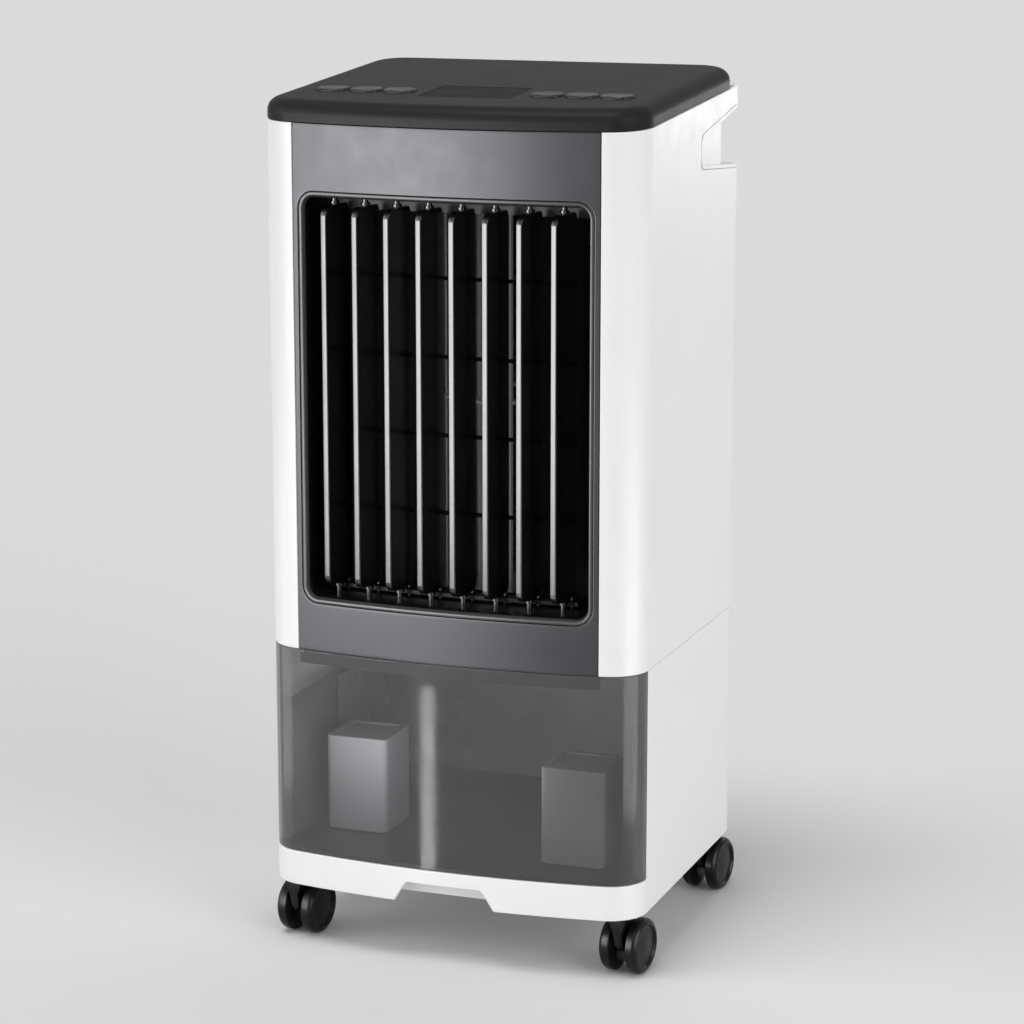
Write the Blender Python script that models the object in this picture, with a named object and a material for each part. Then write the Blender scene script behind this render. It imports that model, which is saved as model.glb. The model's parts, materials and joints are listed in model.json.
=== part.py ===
"""Portable evaporative air cooler on four twin-wheel casters.

Every length below is in millimetres. X is the width (right is +X), -Y is the front, +Z is up.
The origin lies on the floor, in the middle of the plan.
"""
import math

import bmesh
import bpy
from mathutils import Matrix, Vector

MM = 0.001
GAP = 0.3

# ---- body envelope
WIDTH = 260.0
DEPTH = 250.0
BOW = 12.5
FRONT_RADIUS = 26.0
REAR_RADIUS = 36.0
WALL = 2.5

# ---- levels
BASE_BOTTOM = 42.0
DECK_TOP = 65.2
TANK_BOTTOM = 65.6
SHELL_BOTTOM = 205.6
COVER_BOTTOM = 551.0
COVER_HEIGHT = 13.6
COVER_TOP = COVER_BOTTOM + COVER_HEIGHT
COVER_REAR = 97.0
COVER_REAR_RADIUS = 26.0
SHELL_TOP = COVER_BOTTOM - GAP
SHELL_TALL = SHELL_TOP + 24.0  # height before the slope is cut
SLOPE = 0.069  # rise of the top per millimetre from front to rear; the levels above are those at the front

# ---- front panel and outlet
PANEL_HALF = 103.9
OUTLET_HALF = 100.0
OUTLET_LOW = 238.0
OUTLET_HIGH = 508.0
OUTLET_RADIUS = 11.0
BEZEL = 4.5
FRAME_BACK = -78.0
GUARD_FRONT = -77.6
GUARD_BACK = -75.4

# ---- louvres
LOUVRES = 8
LOUVRE_PITCH = 22.4
LOUVRE_ROW_CENTRE = -4.0
LOUVRE_LEAD = 15.0
LOUVRE_TRAIL = 17.0
LOUVRE_SETBACK = 21.0
LOUVRE_LOW = OUTLET_LOW + 10.8
LOUVRE_HIGH = OUTLET_HIGH - 10.0
LOUVRE_REST_DEG = -8.0
PIN_RADIUS = 2.0
LINK_ARM = 13.0
LINK_PIN_RADIUS = 1.5
LINK_LOW = OUTLET_LOW + 6.0
LINK_HIGH = OUTLET_LOW + 8.4
DRIVEN_LOUVRE = 5

# ---- tank
TANK_SEAM_Y = -92.6
TANK_WALL = 2.0
TUB_HALF = 121.0
TUB_BACK = 95.0
TUB_TOP = 165.0

# ---- fan
FAN_Y = -8.0
FAN_RADIUS = 42.0
FAN_BLADES = 14
FAN_LOW = 229.0
FAN_HIGH = 502.0
DUCT_FLOOR = 222.0
DUCT_CEILING = 506.0
PLATE = 3.0
SHAFT_RADIUS = 4.0

# ---- control row on the cover
BUTTON_LENGTH = 21.0
BUTTON_WIDTH = 18.0
BUTTON_Y = -65.0
BUTTON_X = (50.5, 73.7, 97.0)
BUTTON_LOW = COVER_BOTTOM + 0.6
BUTTON_TOP = COVER_TOP + 1.4
WINDOW_HALF = 31.0
WINDOW_FRONT = -84.0
WINDOW_BACK = -37.0

# ---- carry handle recess
HANDLE_START = 13.0
HANDLE_FLOOR = 510.0  # at the rear
HANDLE_ROOF = 554.0
HANDLE_SIDE_DEPTH = 4.0
HANDLE_REAR_DEPTH = 28.0
LINER = 2.2

# ---- rear intake
INTAKE_HALF = 88.0
INTAKE_LOW = 228.0
INTAKE_HIGH = 494.0
REAR_PANEL_HALF = 94.5

# ---- casters
CASTER_X = 115.0
CASTER_FRONT_Y = -97.5
CASTER_REAR_Y = 84.0
CASTER_TRAIL = 9.5
WHEEL_RADIUS = 18.5
WHEEL_WIDTH = 10.4
WHEEL_CENTRE = 8.6
AXLE_RADIUS = 2.0
STEM_RADIUS = 4.0
CASTER_REST_DEG = -7.5  # how far each caster stands turned about its stem

AXES = {"X": (1, 2, 0), "Y": (0, 2, 1), "Z": (0, 1, 2)}


# ------------------------------------------------------------------ materials
def material(name, colour, roughness, metallic=0.0, alpha=1.0):
    made = bpy.data.materials.new(name)
    made.use_nodes = True
    shader = made.node_tree.nodes["Principled BSDF"]
    shader.inputs["Base Color"].default_value = (*colour, 1.0)
    shader.inputs["Roughness"].default_value = roughness
    shader.inputs["Metallic"].default_value = metallic
    shader.inputs["Alpha"].default_value = alpha
    made.diffuse_color = (*colour, alpha)
    return made


# ------------------------------------------------------------------ basic solids
def place(axis, u, v, w):
    """World point of the in-plane pair (u, v) at height w along the axis."""
    point = [0.0, 0.0, 0.0]
    first, second, along = AXES[axis]
    point[first], point[second], point[along] = u, v, w
    return point


def solid(name, points, faces, surface=None):
    """A mesh object from points in millimetres, with its faces turned outwards."""
    mesh = bpy.data.meshes.new(name)
    mesh.from_pydata([[c * MM for c in p] for p in points], [], faces)
    shape = bmesh.new()
    shape.from_mesh(mesh)
    bmesh.ops.recalc_face_normals(shape, faces=shape.faces)
    if shape.calc_volume(signed=True) < 0:
        bmesh.ops.reverse_faces(shape, faces=shape.faces)
    shape.to_mesh(mesh)
    shape.free()
    obj = bpy.data.objects.new(name, mesh)
    bpy.context.collection.objects.link(obj)
    if surface:
        mesh.materials.append(surface)
    return obj


def loft(name, loops, axis="Z", surface=None):
    """A closed solid through loops given as (points, height), all with as many points."""
    count = len(loops[0][0])
    points = [place(axis, u, v, height) for loop, height in loops for u, v in loop]
    faces = [tuple(range(count)), tuple(range(len(points) - count, len(points)))]
    for level in range(len(loops) - 1):
        low, high = level * count, (level + 1) * count
        for i in range(count):
            j = (i + 1) % count
            faces.append((low + i, low + j, high + j, high + i))
    return solid(name, points, faces, surface)


def prism(name, loop, low, high, axis="Z", surface=None):
    return loft(name, [(loop, low), (loop, high)], axis, surface)


def box(name, x, y, z, surface=None):
    """A box from three (low, high) pairs."""
    loop = [(x[0], y[0]), (x[1], y[0]), (x[1], y[1]), (x[0], y[1])]
    return prism(name, loop, z[0], z[1], "Z", surface)


def circle(cu, cv, radius, sides):
    return arc(cu, cv, radius, 0.0, 360.0 - 360.0 / sides, sides - 1)


def rod(name, centre, radius, low, high, axis="Z", sides=16, surface=None):
    """A cylinder; centre is the pair of coordinates across the axis."""
    return prism(name, circle(centre[0], centre[1], radius, sides), low, high, axis, surface)


def turned(name, profile, centre, axis, sides, surface=None):
    """A ring turned from a closed profile of (radius, height), all at radius above 0."""
    points, faces, count = [], [], len(profile)
    for step in range(sides):
        turn = 2 * math.pi * step / sides
        for radius, height in profile:
            u = centre[0] + radius * math.cos(turn)
            v = centre[1] + radius * math.sin(turn)
            points.append(place(axis, u, v, height))
    for step in range(sides):
        here, there = step * count, (step + 1) % sides * count
        for i in range(count):
            j = (i + 1) % count
            faces.append((here + i, here + j, there + j, there + i))
    return solid(name, points, faces, surface)


# ------------------------------------------------------------------ outlines
def arc(cu, cv, radius, start, end, steps):
    """Points on an arc, both ends included, angles in degrees."""
    angles = [math.radians(start + (end - start) * i / steps) for i in range(steps + 1)]
    return [(cu + radius * math.cos(a), cv + radius * math.sin(a)) for a in angles]


def rounded(u0, u1, v0, v1, radius, steps=3):
    """A rectangle with round corners, anticlockwise."""
    corners = ((u1, v0, -90), (u1, v1, 0), (u0, v1, 90), (u0, v0, 180))
    loop = []
    for u, v, start in corners:
        cu = u - math.copysign(radius, u - (u0 + u1) / 2)
        cv = v - math.copysign(radius, v - (v0 + v1) / 2)
        loop += arc(cu, cv, radius, start, start + 90, steps)
    return loop


def bow_radius():
    half = WIDTH / 2
    return (half * half + BOW * BOW) / (2 * BOW)


def front_y(x, setback=0.0):
    """Y of the bowed front at x, moved back by setback."""
    radius = bow_radius() - setback
    return -DEPTH / 2 + bow_radius() - math.sqrt(radius * radius - x * x)


def outline(inset=0.0, rear=DEPTH / 2, rear_radius=REAR_RADIUS):
    """Plan of the body: a bowed front, round corners, flat sides and back, anticlockwise."""
    half = WIDTH / 2
    bow_centre = -DEPTH / 2 + bow_radius()
    corner_x = half - FRONT_RADIUS
    reach = bow_radius() - FRONT_RADIUS
    corner_y = bow_centre - math.sqrt(reach * reach - corner_x * corner_x)
    join = math.degrees(math.atan2(corner_y - bow_centre, corner_x))
    small = FRONT_RADIUS - inset
    back = rear_radius - inset
    loop = arc(-corner_x, corner_y, small, -180, -180 - join, 5)
    loop += arc(0, bow_centre, bow_radius() - inset, -180 - join, join, 12)[1:-1]
    loop += arc(corner_x, corner_y, small, join, 0, 5)
    loop += arc(half - rear_radius, rear - rear_radius, back, 0, 90, 6)
    loop += arc(-half + rear_radius, rear - rear_radius, back, 90, 180, 6)
    return loop


def band(name, low, high, outer=0.0, inner=WALL, surface=None):
    """A ring that follows the body outline between two insets."""
    ring = prism(name, outline(outer), low, high, "Z", surface)
    cut(ring, prism("core", outline(inner), low - 1, high + 1))
    return ring


# ------------------------------------------------------------------ combining
def combine(target, tool, operation):
    step = target.modifiers.new(operation, "BOOLEAN")
    step.operation = operation
    step.object = tool
    bpy.context.view_layer.update()
    graph = bpy.context.evaluated_depsgraph_get()
    mesh = bpy.data.meshes.new_from_object(target.evaluated_get(graph))
    target.modifiers.clear()
    old = target.data
    target.data = mesh
    bpy.data.meshes.remove(old)
    remove(tool)
    return target


def cut(target, *tools):
    for tool in tools:
        combine(target, tool, "DIFFERENCE")
    return target


def add(target, *tools):
    for tool in tools:
        combine(target, tool, "UNION")
    return target


def keep(target, tool):
    return combine(target, tool, "INTERSECT")


def remove(obj):
    bpy.data.objects.remove(obj, do_unlink=True)


def group(name, pieces):
    """One mesh that holds several shapes which don't touch, for use as a tool."""
    points, faces = [], []
    for piece in pieces:
        base = len(points)
        points += [tuple(v.co / MM) for v in piece.data.vertices]
        faces += [tuple(base + i for i in p.vertices) for p in piece.data.polygons]
        remove(piece)
    return solid(name, points, faces)


def finish(obj, origin=None, parent=None):
    """Rounds the shading, and moves the origin to a joint axis or the parent."""
    obj.data.shade_smooth()
    obj.data.set_sharp_from_angle(angle=math.radians(35))
    if origin:
        at = Vector(origin) * MM
        obj.data.transform(Matrix.Translation(-at))
        obj.location = at
    if parent:
        bpy.context.view_layer.update()
        obj.parent = parent
        obj.matrix_parent_inverse = parent.matrix_world.inverted()
    return obj


# ------------------------------------------------------------------ body shells
def base_shell(surface):
    shell = prism("base_shell", outline(), BASE_BOTTOM, SHELL_BOTTOM - GAP, "Z", surface)
    chamfer = 10.0
    back = DEPTH / 2
    heel = [(back - chamfer, BASE_BOTTOM - 1), (back + 1, BASE_BOTTOM - 1),
            (back + 1, BASE_BOTTOM + chamfer)]
    cut(shell, prism("heel", heel, -WIDTH, WIDTH, "X"))
    underside = prism("underside", outline(WALL), BASE_BOTTOM - 2, DECK_TOP - PLATE)
    inner_back = back - WALL
    limit = [(-DEPTH, BASE_BOTTOM - 3), (inner_back - chamfer, BASE_BOTTOM - 3),
             (inner_back - chamfer, BASE_BOTTOM), (inner_back, BASE_BOTTOM + chamfer),
             (inner_back, DECK_TOP), (-DEPTH, DECK_TOP)]
    keep(underside, prism("limit", limit, -WIDTH, WIDTH, "X"))
    cut(shell, underside)
    cut(shell, prism("well", outline(WALL), DECK_TOP, SHELL_BOTTOM + 1))
    way = (-DEPTH, TANK_SEAM_Y + GAP)
    cut(shell, box("drawer_way", (-WIDTH, WIDTH), way, (DECK_TOP, SHELL_BOTTOM + 1)))
    notch_top, notch_bottom, notch_height = 28.5, 35.0, 13.5
    arch = BASE_BOTTOM + notch_height
    notch = [(-notch_bottom, BASE_BOTTOM - 1), (notch_bottom, BASE_BOTTOM - 1),
             (notch_top, arch - 3), (notch_top - 3, arch), (-notch_top + 3, arch), (-notch_top, arch - 3)]
    cut(shell, prism("notch", notch, -DEPTH, -DEPTH / 2 + 12, "Y"))
    pocket, reach = 15.0, 2.0
    rear = -DEPTH / 2 + pocket
    tall = (BASE_BOTTOM + 3.0, DECK_TOP - 1)
    add(shell, box("finger_wall", (-notch_bottom - 3, notch_bottom + 3), (rear, rear + reach), tall))
    for side in (-1, 1):
        across = sorted((side * (notch_bottom + 1), side * (notch_bottom + 3)))
        add(shell, box("finger_cheek", across, (-DEPTH / 2 + WALL, rear + 1), tall))
    boss_radius, boss_low = 9.0, BASE_BOTTOM + 3.2
    for x, y in caster_stems():
        add(shell, rod("boss", (x, y), boss_radius, boss_low, DECK_TOP - 1))
    for x, y in caster_stems():
        cut(shell, rod("socket", (x, y), STEM_RADIUS + GAP, boss_low - 1, DECK_TOP - PLATE))
    cut(shell, rod("cord_hole", cord_centre(), 7.8, DEPTH / 2 - 10, DEPTH / 2 + 1, "Y"))
    return finish(shell)


def cord_centre():
    return (-88.0, 92.0)


def cord_gland(surface):
    back = DEPTH / 2 - 0.2
    inside = back - WALL - 0.3
    gland = rod("cord_gland", cord_centre(), 7.4, inside - 6, back, "Y", 16, surface)
    add(gland, rod("flange", cord_centre(), 10.0, inside - 3, inside, "Y"))
    cut(gland, rod("bore", cord_centre(), 3.4, inside - 9, back + 3, "Y", 12))
    return finish(gland)


def handle_profile(grow):
    """Side view of the hand recess: narrow at its front end and wider towards the rear."""
    start, behind = HANDLE_START - grow, DEPTH / 2 + 10
    return [(start, 527), (start + 1.5, 523 - grow), (start + 5.5, 519 - grow),
            (behind, HANDLE_FLOOR - grow), (behind, HANDLE_ROOF + grow), (90, 550.5 + grow),
            (start + 5.5, 537.5 + grow), (start + 1.5, 533 + grow)]


def handle_core(shrink, low, high):
    """The block left inside the hand recess."""
    half = WIDTH / 2 - HANDLE_SIDE_DEPTH - shrink
    rear = DEPTH / 2 - HANDLE_REAR_DEPTH - shrink
    radius = REAR_RADIUS - 4 - shrink
    loop = [(-half, -DEPTH), (half, -DEPTH)]
    loop += arc(half - radius, rear - radius, radius, 0, 90, 6)
    loop += arc(-half + radius, rear - radius, radius, 90, 180, 6)
    return prism("handle_core", loop, low, high)


def handle_cut(grow):
    return prism("handle_cut", handle_profile(grow), -WIDTH, WIDTH, "X")


def lean(obj):
    """Shears a shape made level so that it rises towards the rear with the top of the body."""
    shear = Matrix.Identity(4)
    shear[2][1] = SLOPE
    shear[2][3] = SLOPE * DEPTH / 2 * MM
    obj.data.transform(shear)
    return obj


def lifted(y):
    """How much higher the sloping top is at y than at the front."""
    return SLOPE * (y + DEPTH / 2)


def above_shells():
    """Everything over the sloping rim of the shells."""
    reach = (-WIDTH, WIDTH)
    return lean(box("above", reach, (-DEPTH, DEPTH), (SHELL_TOP, SHELL_TOP + 60)))


def side_shell(name, side, surface):
    shell = band(name, SHELL_BOTTOM, SHELL_TALL, surface=surface)
    near, far = (PANEL_HALF + GAP) * side, (WIDTH / 2 + 1) * side
    inner = (REAR_PANEL_HALF + GAP) * side
    plan = [(near, -DEPTH), (far, -DEPTH), (far, DEPTH), (inner, DEPTH), (inner, 0), (near, 0)]
    keep(shell, prism("part_plan", plan, SHELL_BOTTOM - 1, SHELL_TALL + 1))
    cut(shell, handle_cut(LINER + GAP), above_shells())
    return finish(shell)


def rear_shell(surface):
    top = HANDLE_FLOOR - LINER - 2 * GAP
    shell = band("rear_shell", SHELL_BOTTOM, top, surface=surface)
    half = REAR_PANEL_HALF
    keep(shell, box("middle", (-half, half), (0, DEPTH), (SHELL_BOTTOM - 1, top + 1)))
    opening = rounded(-INTAKE_HALF, INTAKE_HALF, INTAKE_LOW, INTAKE_HIGH, 8)
    cut(shell, prism("intake", opening, 0, DEPTH, "Y"))
    return finish(shell)


def rear_ledge():
    """The strip of the top behind the cover."""
    front = COVER_REAR - WALL
    ledge = prism("rear_ledge", outline(WALL + GAP), SHELL_TOP - WALL, SHELL_TOP)
    half = REAR_PANEL_HALF
    add(ledge, box("to_lip", (-half, half), (front, DEPTH / 2 - 1), (SHELL_TOP - WALL, SHELL_TOP)))
    return lean(keep(ledge, box("behind", (-WIDTH, WIDTH), (front, DEPTH), (SHELL_TOP - 9, SHELL_TOP + 9))))


def handle_liner(surface):
    """The lining of the hand recess, with the middle of the lip above it and the ledge in front."""
    low, high = 480, 590
    half, back = REAR_PANEL_HALF, DEPTH / 2
    liner = prism("handle_liner", outline(), low, SHELL_TALL, "Z", surface)
    shape = handle_cut(LINER)
    add(shape, box("lip", (-half, half), (back - WALL, back + 5), (HANDLE_ROOF - 2, high)))
    keep(liner, shape)
    grip = handle_cut(0)
    cut(grip, handle_core(0, low, high))
    cut(liner, grip, handle_core(LINER, low - 1, high + 1), above_shells())
    add(liner, rear_ledge())
    return finish(liner)


def front_panel(surface):
    panel = band("front_panel", SHELL_BOTTOM, SHELL_TALL, surface=surface)
    add(panel, band("tongue", 196.0, SHELL_BOTTOM + 6, WALL - 0.2, WALL + 2.3))
    keep(panel, box("middle", (-PANEL_HALF, PANEL_HALF), (-DEPTH, 0), (190, SHELL_TALL + 1)))
    edge = OUTLET_HALF + GAP
    opening = rounded(-edge, edge, OUTLET_LOW - GAP, OUTLET_HIGH + GAP, OUTLET_RADIUS + GAP)
    cut(panel, prism("outlet", opening, -DEPTH, 0, "Y"), above_shells())
    return finish(panel)


# ------------------------------------------------------------------ outlet and louvres
def louvre_pivots():
    """Pivot axes along the bow of the front."""
    first = LOUVRE_ROW_CENTRE - LOUVRE_PITCH * (LOUVRES - 1) / 2
    xs = [first + LOUVRE_PITCH * i for i in range(LOUVRES)]
    return [(x, front_y(x, LOUVRE_SETBACK)) for x in xs]


def louvre_frame(surface):
    half, low, high = OUTLET_HALF, OUTLET_LOW, OUTLET_HIGH
    border = rounded(-half, half, low, high, OUTLET_RADIUS)
    frame = prism("louvre_frame", border, -DEPTH, FRAME_BACK, "Y", surface)
    keep(frame, prism("bow", outline(0.2), low - 5, high + 5))
    throat = rounded(-half + BEZEL, half - BEZEL, low + BEZEL, high - BEZEL, OUTLET_RADIUS - BEZEL)
    cut(frame, prism("throat", throat, -DEPTH, 0, "Y"))
    hole, depth = PIN_RADIUS + GAP, 3.2
    holes = []
    for number, (x, y) in enumerate(louvre_pivots(), 1):
        bottom = low - 1 if number == DRIVEN_LOUVRE else low + BEZEL - depth
        holes.append(rod("hole", (x, y), hole, bottom, low + BEZEL + 1, sides=8))
        holes.append(rod("hole", (x, y), hole, high - BEZEL - 1, high - BEZEL + depth, sides=8))
    cut(frame, group("holes", holes))
    return finish(frame)


def louvre_profile():
    """Plan of one blade about its pivot: a round, thick leading edge and a thin trailing edge."""
    nose, tail = 1.9, 0.8
    loop = arc(0, -LOUVRE_LEAD + nose, nose, 180, 360, 4)
    loop += [(1.7, 0.0), (tail, LOUVRE_TRAIL - tail), (0, LOUVRE_TRAIL),
             (-tail, LOUVRE_TRAIL - tail), (-1.7, 0.0)]
    return loop


def louvre_blade(number, pivot, surface):
    x, y = pivot
    name = f"louvre_blade_{number}"
    blade = prism(name, louvre_profile(), LOUVRE_LOW, LOUVRE_HIGH, "Z", surface)
    foot = OUTLET_LOW - 0.8 if number == DRIVEN_LOUVRE else OUTLET_LOW + BEZEL - 2.4
    head = OUTLET_HIGH - BEZEL + 2.4
    add(blade, rod("foot_pin", (0, 0), PIN_RADIUS, foot, LOUVRE_LOW + 1, sides=8),
        rod("head_pin", (0, 0), PIN_RADIUS, LOUVRE_HIGH - 1, head, sides=8),
        rod("link_pin", (0, LINK_ARM), LINK_PIN_RADIUS, LINK_LOW - 0.4, LOUVRE_LOW + 1, sides=6))
    turn = Matrix.Rotation(math.radians(LOUVRE_REST_DEG), 4, "Z")
    blade.data.transform(Matrix.Translation((x * MM, y * MM, 0)) @ turn)
    return finish(blade, (x, y, LOUVRE_LOW))


def louvre_link(surface):
    """The bar that joins the blades: their pins slide in its slots as they turn."""
    lean = math.radians(LOUVRE_REST_DEG)
    shift = -LINK_ARM * math.sin(lean)
    pivots = louvre_pivots()
    front, back, ends = 7.4, 16.6, (3.0, 5.5)
    first, last = pivots[0], pivots[-1]
    start = [(first[0] - ends[0], first[1])] + pivots + [(last[0] + ends[1], last[1])]
    loop = [(x + shift, y + front) for x, y in start] + [(x + shift, y + back) for x, y in reversed(start)]
    bar = prism("louvre_link", loop, LINK_LOW, LINK_HIGH, "Z", surface)
    wide = LINK_PIN_RADIUS + 0.7
    slots = [box("slot", (x + shift - wide, x + shift + wide), (y + front + 1.2, y + back - 1.4),
                 (LINK_LOW - 1, LINK_HIGH + 1)) for x, y in pivots]
    cut(bar, group("slots", slots))
    return finish(bar)


def swing_motor(surface):
    """A geared motor under the outlet, its spindle under the foot pin of one blade."""
    x, y = louvre_pivots()[DRIVEN_LOUVRE - 1]
    top = OUTLET_LOW - 6.0
    motor = rod("swing_motor", (x, y), 13.5, top - 17, top, sides=24, surface=surface)
    add(motor, rod("spindle", (x, y), 3.0, top - 1, OUTLET_LOW - 1.2, sides=12),
        box("ears", (x - 19, x + 19), (y - 4, y + 4), (top - 1.2, top)),
        box("plug", (x - 7, x + 7), (y + 8, y + 16), (top - 14, top - 4)))
    return finish(motor)


def inner_guard(surface):
    half, low, high = OUTLET_HALF, OUTLET_LOW, OUTLET_HIGH
    border = rounded(-half, half, low, high, OUTLET_RADIUS)
    guard = prism("inner_guard", border, GUARD_FRONT, GUARD_BACK, "Y", surface)
    columns, rows, bar, rim = 8, 5, 2.4, 6.0
    step_x, step_z = (2 * half - 2 * rim) / columns, (high - low - 2 * rim) / rows
    holes = []
    for column in range(columns):
        for row in range(rows):
            x, z = -half + rim + column * step_x, low + rim + row * step_z
            wide, tall = (x + bar / 2, x + step_x - bar / 2), (z + bar / 2, z + step_z - bar / 2)
            holes.append(box("hole", wide, (GUARD_FRONT - 1, GUARD_BACK + 1), tall))
    cut(guard, group("holes", holes))
    return finish(guard)


# ------------------------------------------------------------------ cover and controls
def cover_levels(inset, steps):
    """Plans of the cover at each (height, further inset)."""
    return [(outline(inset + more, COVER_REAR, COVER_REAR_RADIUS), z) for z, more in steps]


def button_loop(x, grow):
    length, width = BUTTON_LENGTH / 2 + grow, BUTTON_WIDTH / 2 + grow
    return rounded(x - length, x + length, BUTTON_Y - width, BUTTON_Y + width, width - 0.1, 3)


def top_cover(surface):
    top, inside = COVER_TOP, COVER_TOP - WALL
    edge = ((COVER_BOTTOM, 0.0), (top - 7.0, 0.3), (top - 3.6, 2.0), (top - 1.2, 5.0), (top, 9.5))
    room = ((COVER_BOTTOM - 1, 0.0), (inside - 5.0, 0.3), (inside, 5.5))
    cover = loft("top_cover", cover_levels(0.0, edge), "Z", surface)
    cut(cover, loft("inside", cover_levels(WALL, room)))
    tools = [prism("button_hole", button_loop(side * x, GAP + 0.1), COVER_BOTTOM, top + 2)
             for side in (-1, 1) for x in BUTTON_X]
    half, reach = WINDOW_HALF, (COVER_BOTTOM + 2, top + 2)
    tools.append(box("window_hole", (-half, half), (WINDOW_FRONT, WINDOW_BACK), reach))
    tools.append(rod("eye_hole", eye_centre(), 2.9, -DEPTH / 2 - 2, -DEPTH / 2 + 8, "Y", 12))
    cut(cover, group("holes", tools))
    return finish(lean(cover))


def eye_centre():
    return (0.0, COVER_BOTTOM + 6.2)


def display_window(surface):
    x, front, back = WINDOW_HALF - GAP, WINDOW_FRONT + GAP, WINDOW_BACK - GAP
    plan = rounded(-x, x, front, back, 0.8, 2)
    window = prism("display_window", plan, COVER_TOP - 2.2, COVER_TOP - 0.2, "Z", surface)
    return finish(lean(window))


def eye_lens(surface):
    front = -DEPTH / 2
    lens = rod("receiver_lens", eye_centre(), 2.6, front + 0.2, front + 6.5, "Y", 12, surface)
    return finish(lean(lens))


def button(name, x, surface):
    rim = 0.9
    low, high = BUTTON_LOW, BUTTON_TOP
    loops = [(button_loop(x, 0), low), (button_loop(x, 0), high - rim), (button_loop(x, -rim), high)]
    return finish(lean(loft(name, loops, "Z", surface)), (x, BUTTON_Y, high + lifted(BUTTON_Y)))


def control_board(surface):
    """The circuit board, with a push switch under every button and the display module."""
    low, high = COVER_BOTTOM - 9.6, COVER_BOTTOM - 8.0
    board = box("control_board", (-108, 108), (-88, -36), (low, high), surface)
    root = high - 0.5
    for side in (-1, 1):
        for x in BUTTON_X:
            reach = (side * x - 3, side * x + 3)
            add(board, box("switch", reach, (BUTTON_Y - 3, BUTTON_Y + 3), (root, BUTTON_LOW - 1.7)))
    add(board, box("display_module", (-27, 27), (-76, -44), (root, COVER_TOP - 6.6)))
    return finish(lean(board))


# ------------------------------------------------------------------ fan and duct
def fan_housing(surface):
    """Floor, ceiling and the two curved cheeks that lead the air to the outlet."""
    half, front, back = 106.0, GUARD_BACK + GAP, 50.0
    floor = (DUCT_FLOOR, DUCT_FLOOR + PLATE)
    ceiling = (DUCT_CEILING, DUCT_CEILING + PLATE)
    housing = box("fan_housing", (-half, half), (front, back), floor, surface)
    add(housing, box("ceiling", (-half, half), (front, back), ceiling))
    near = FAN_RADIUS + 6.0
    for side in (-1, 1):
        bend = arc(0, FAN_Y, near, -38, 14, 5)
        path = [(half - 3, front)] + bend + [(84, back)]
        outer = [(u + 3.0, v) for u, v in path]
        loop = [(u * side, v) for u, v in path + outer[::-1]]
        add(housing, prism("cheek", loop, floor[1] - 0.5, ceiling[0] + 0.5))
    cut(housing, rod("bearing_seat", (0, FAN_Y), 10.3, floor[0] - 1, floor[1] + 1, sides=20),
        rod("shaft_hole", (0, FAN_Y), 8.0, ceiling[0] - 1, ceiling[1] + 1, sides=20))
    return finish(housing)


def fan_wheel(surface):
    """Vertical cross-flow impeller on its shaft."""
    centre, rim = (0.0, FAN_Y), 2.4
    middle = (FAN_LOW + FAN_HIGH) / 2
    wheel = rod("fan_wheel", centre, FAN_RADIUS, FAN_LOW, FAN_LOW + rim, sides=24, surface=surface)
    blades = []
    for step in range(FAN_BLADES):
        turn = 360 * step / FAN_BLADES
        vane = [polar(32.0, turn), polar(37.0, turn + 5), polar(41.3, turn + 14),
                polar(40.6, turn + 16), polar(36.0, turn + 7.2), polar(31.4, turn + 2.2)]
        blades.append(prism("vane", vane, FAN_LOW + 1, FAN_HIGH - 1))
    vanes = group("vanes", blades)
    top = rod("top_disc", centre, FAN_RADIUS, FAN_HIGH - rim, FAN_HIGH, sides=24)
    hoop = [(30, middle - 1), (42, middle - 1), (42, middle + 1), (30, middle + 1)]
    ring = turned("middle_ring", hoop, centre, "Z", 24)
    add(wheel, vanes, top, ring)
    add(wheel, rod("foot", centre, SHAFT_RADIUS, DUCT_FLOOR - 3, FAN_LOW + 1, sides=12),
        rod("head", centre, SHAFT_RADIUS, FAN_HIGH - 1, DUCT_CEILING + 14, sides=12))
    return finish(wheel, (0, FAN_Y, FAN_LOW))


def polar(radius, degrees):
    turn = math.radians(degrees)
    return (radius * math.cos(turn), FAN_Y + radius * math.sin(turn))


def fan_bearing(surface):
    low, high, inner = DUCT_FLOOR - 1.2, DUCT_FLOOR + PLATE, SHAFT_RADIUS + 0.1
    profile = [(inner, low), (10.0, low), (10.0, high), (inner, high)]
    return finish(turned("fan_bearing", profile, (0, FAN_Y), "Z", 18, surface))


def fan_motor(surface):
    """Motor on top of the duct; the shaft of the impeller goes up into its bore."""
    low = DUCT_CEILING + PLATE + GAP
    motor = rod("fan_motor", (0, FAN_Y), 36.0, low, low + 26, sides=32, surface=surface)
    add(motor, rod("end_bell", (0, FAN_Y), 22.0, low + 25, low + 33, sides=24))
    for x in (-1, 1):
        add(motor, box("foot", (x * 44 - 8, x * 44 + 8), (FAN_Y - 7, FAN_Y + 7), (low, low + 3)),
            box("arm", (min(x * 30, x * 40), max(x * 30, x * 40)), (FAN_Y - 6, FAN_Y + 6), (low, low + 6)))
    cut(motor, rod("bore", (0, FAN_Y), SHAFT_RADIUS + GAP, low - 1, low + 14, sides=12))
    return finish(motor)


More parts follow.
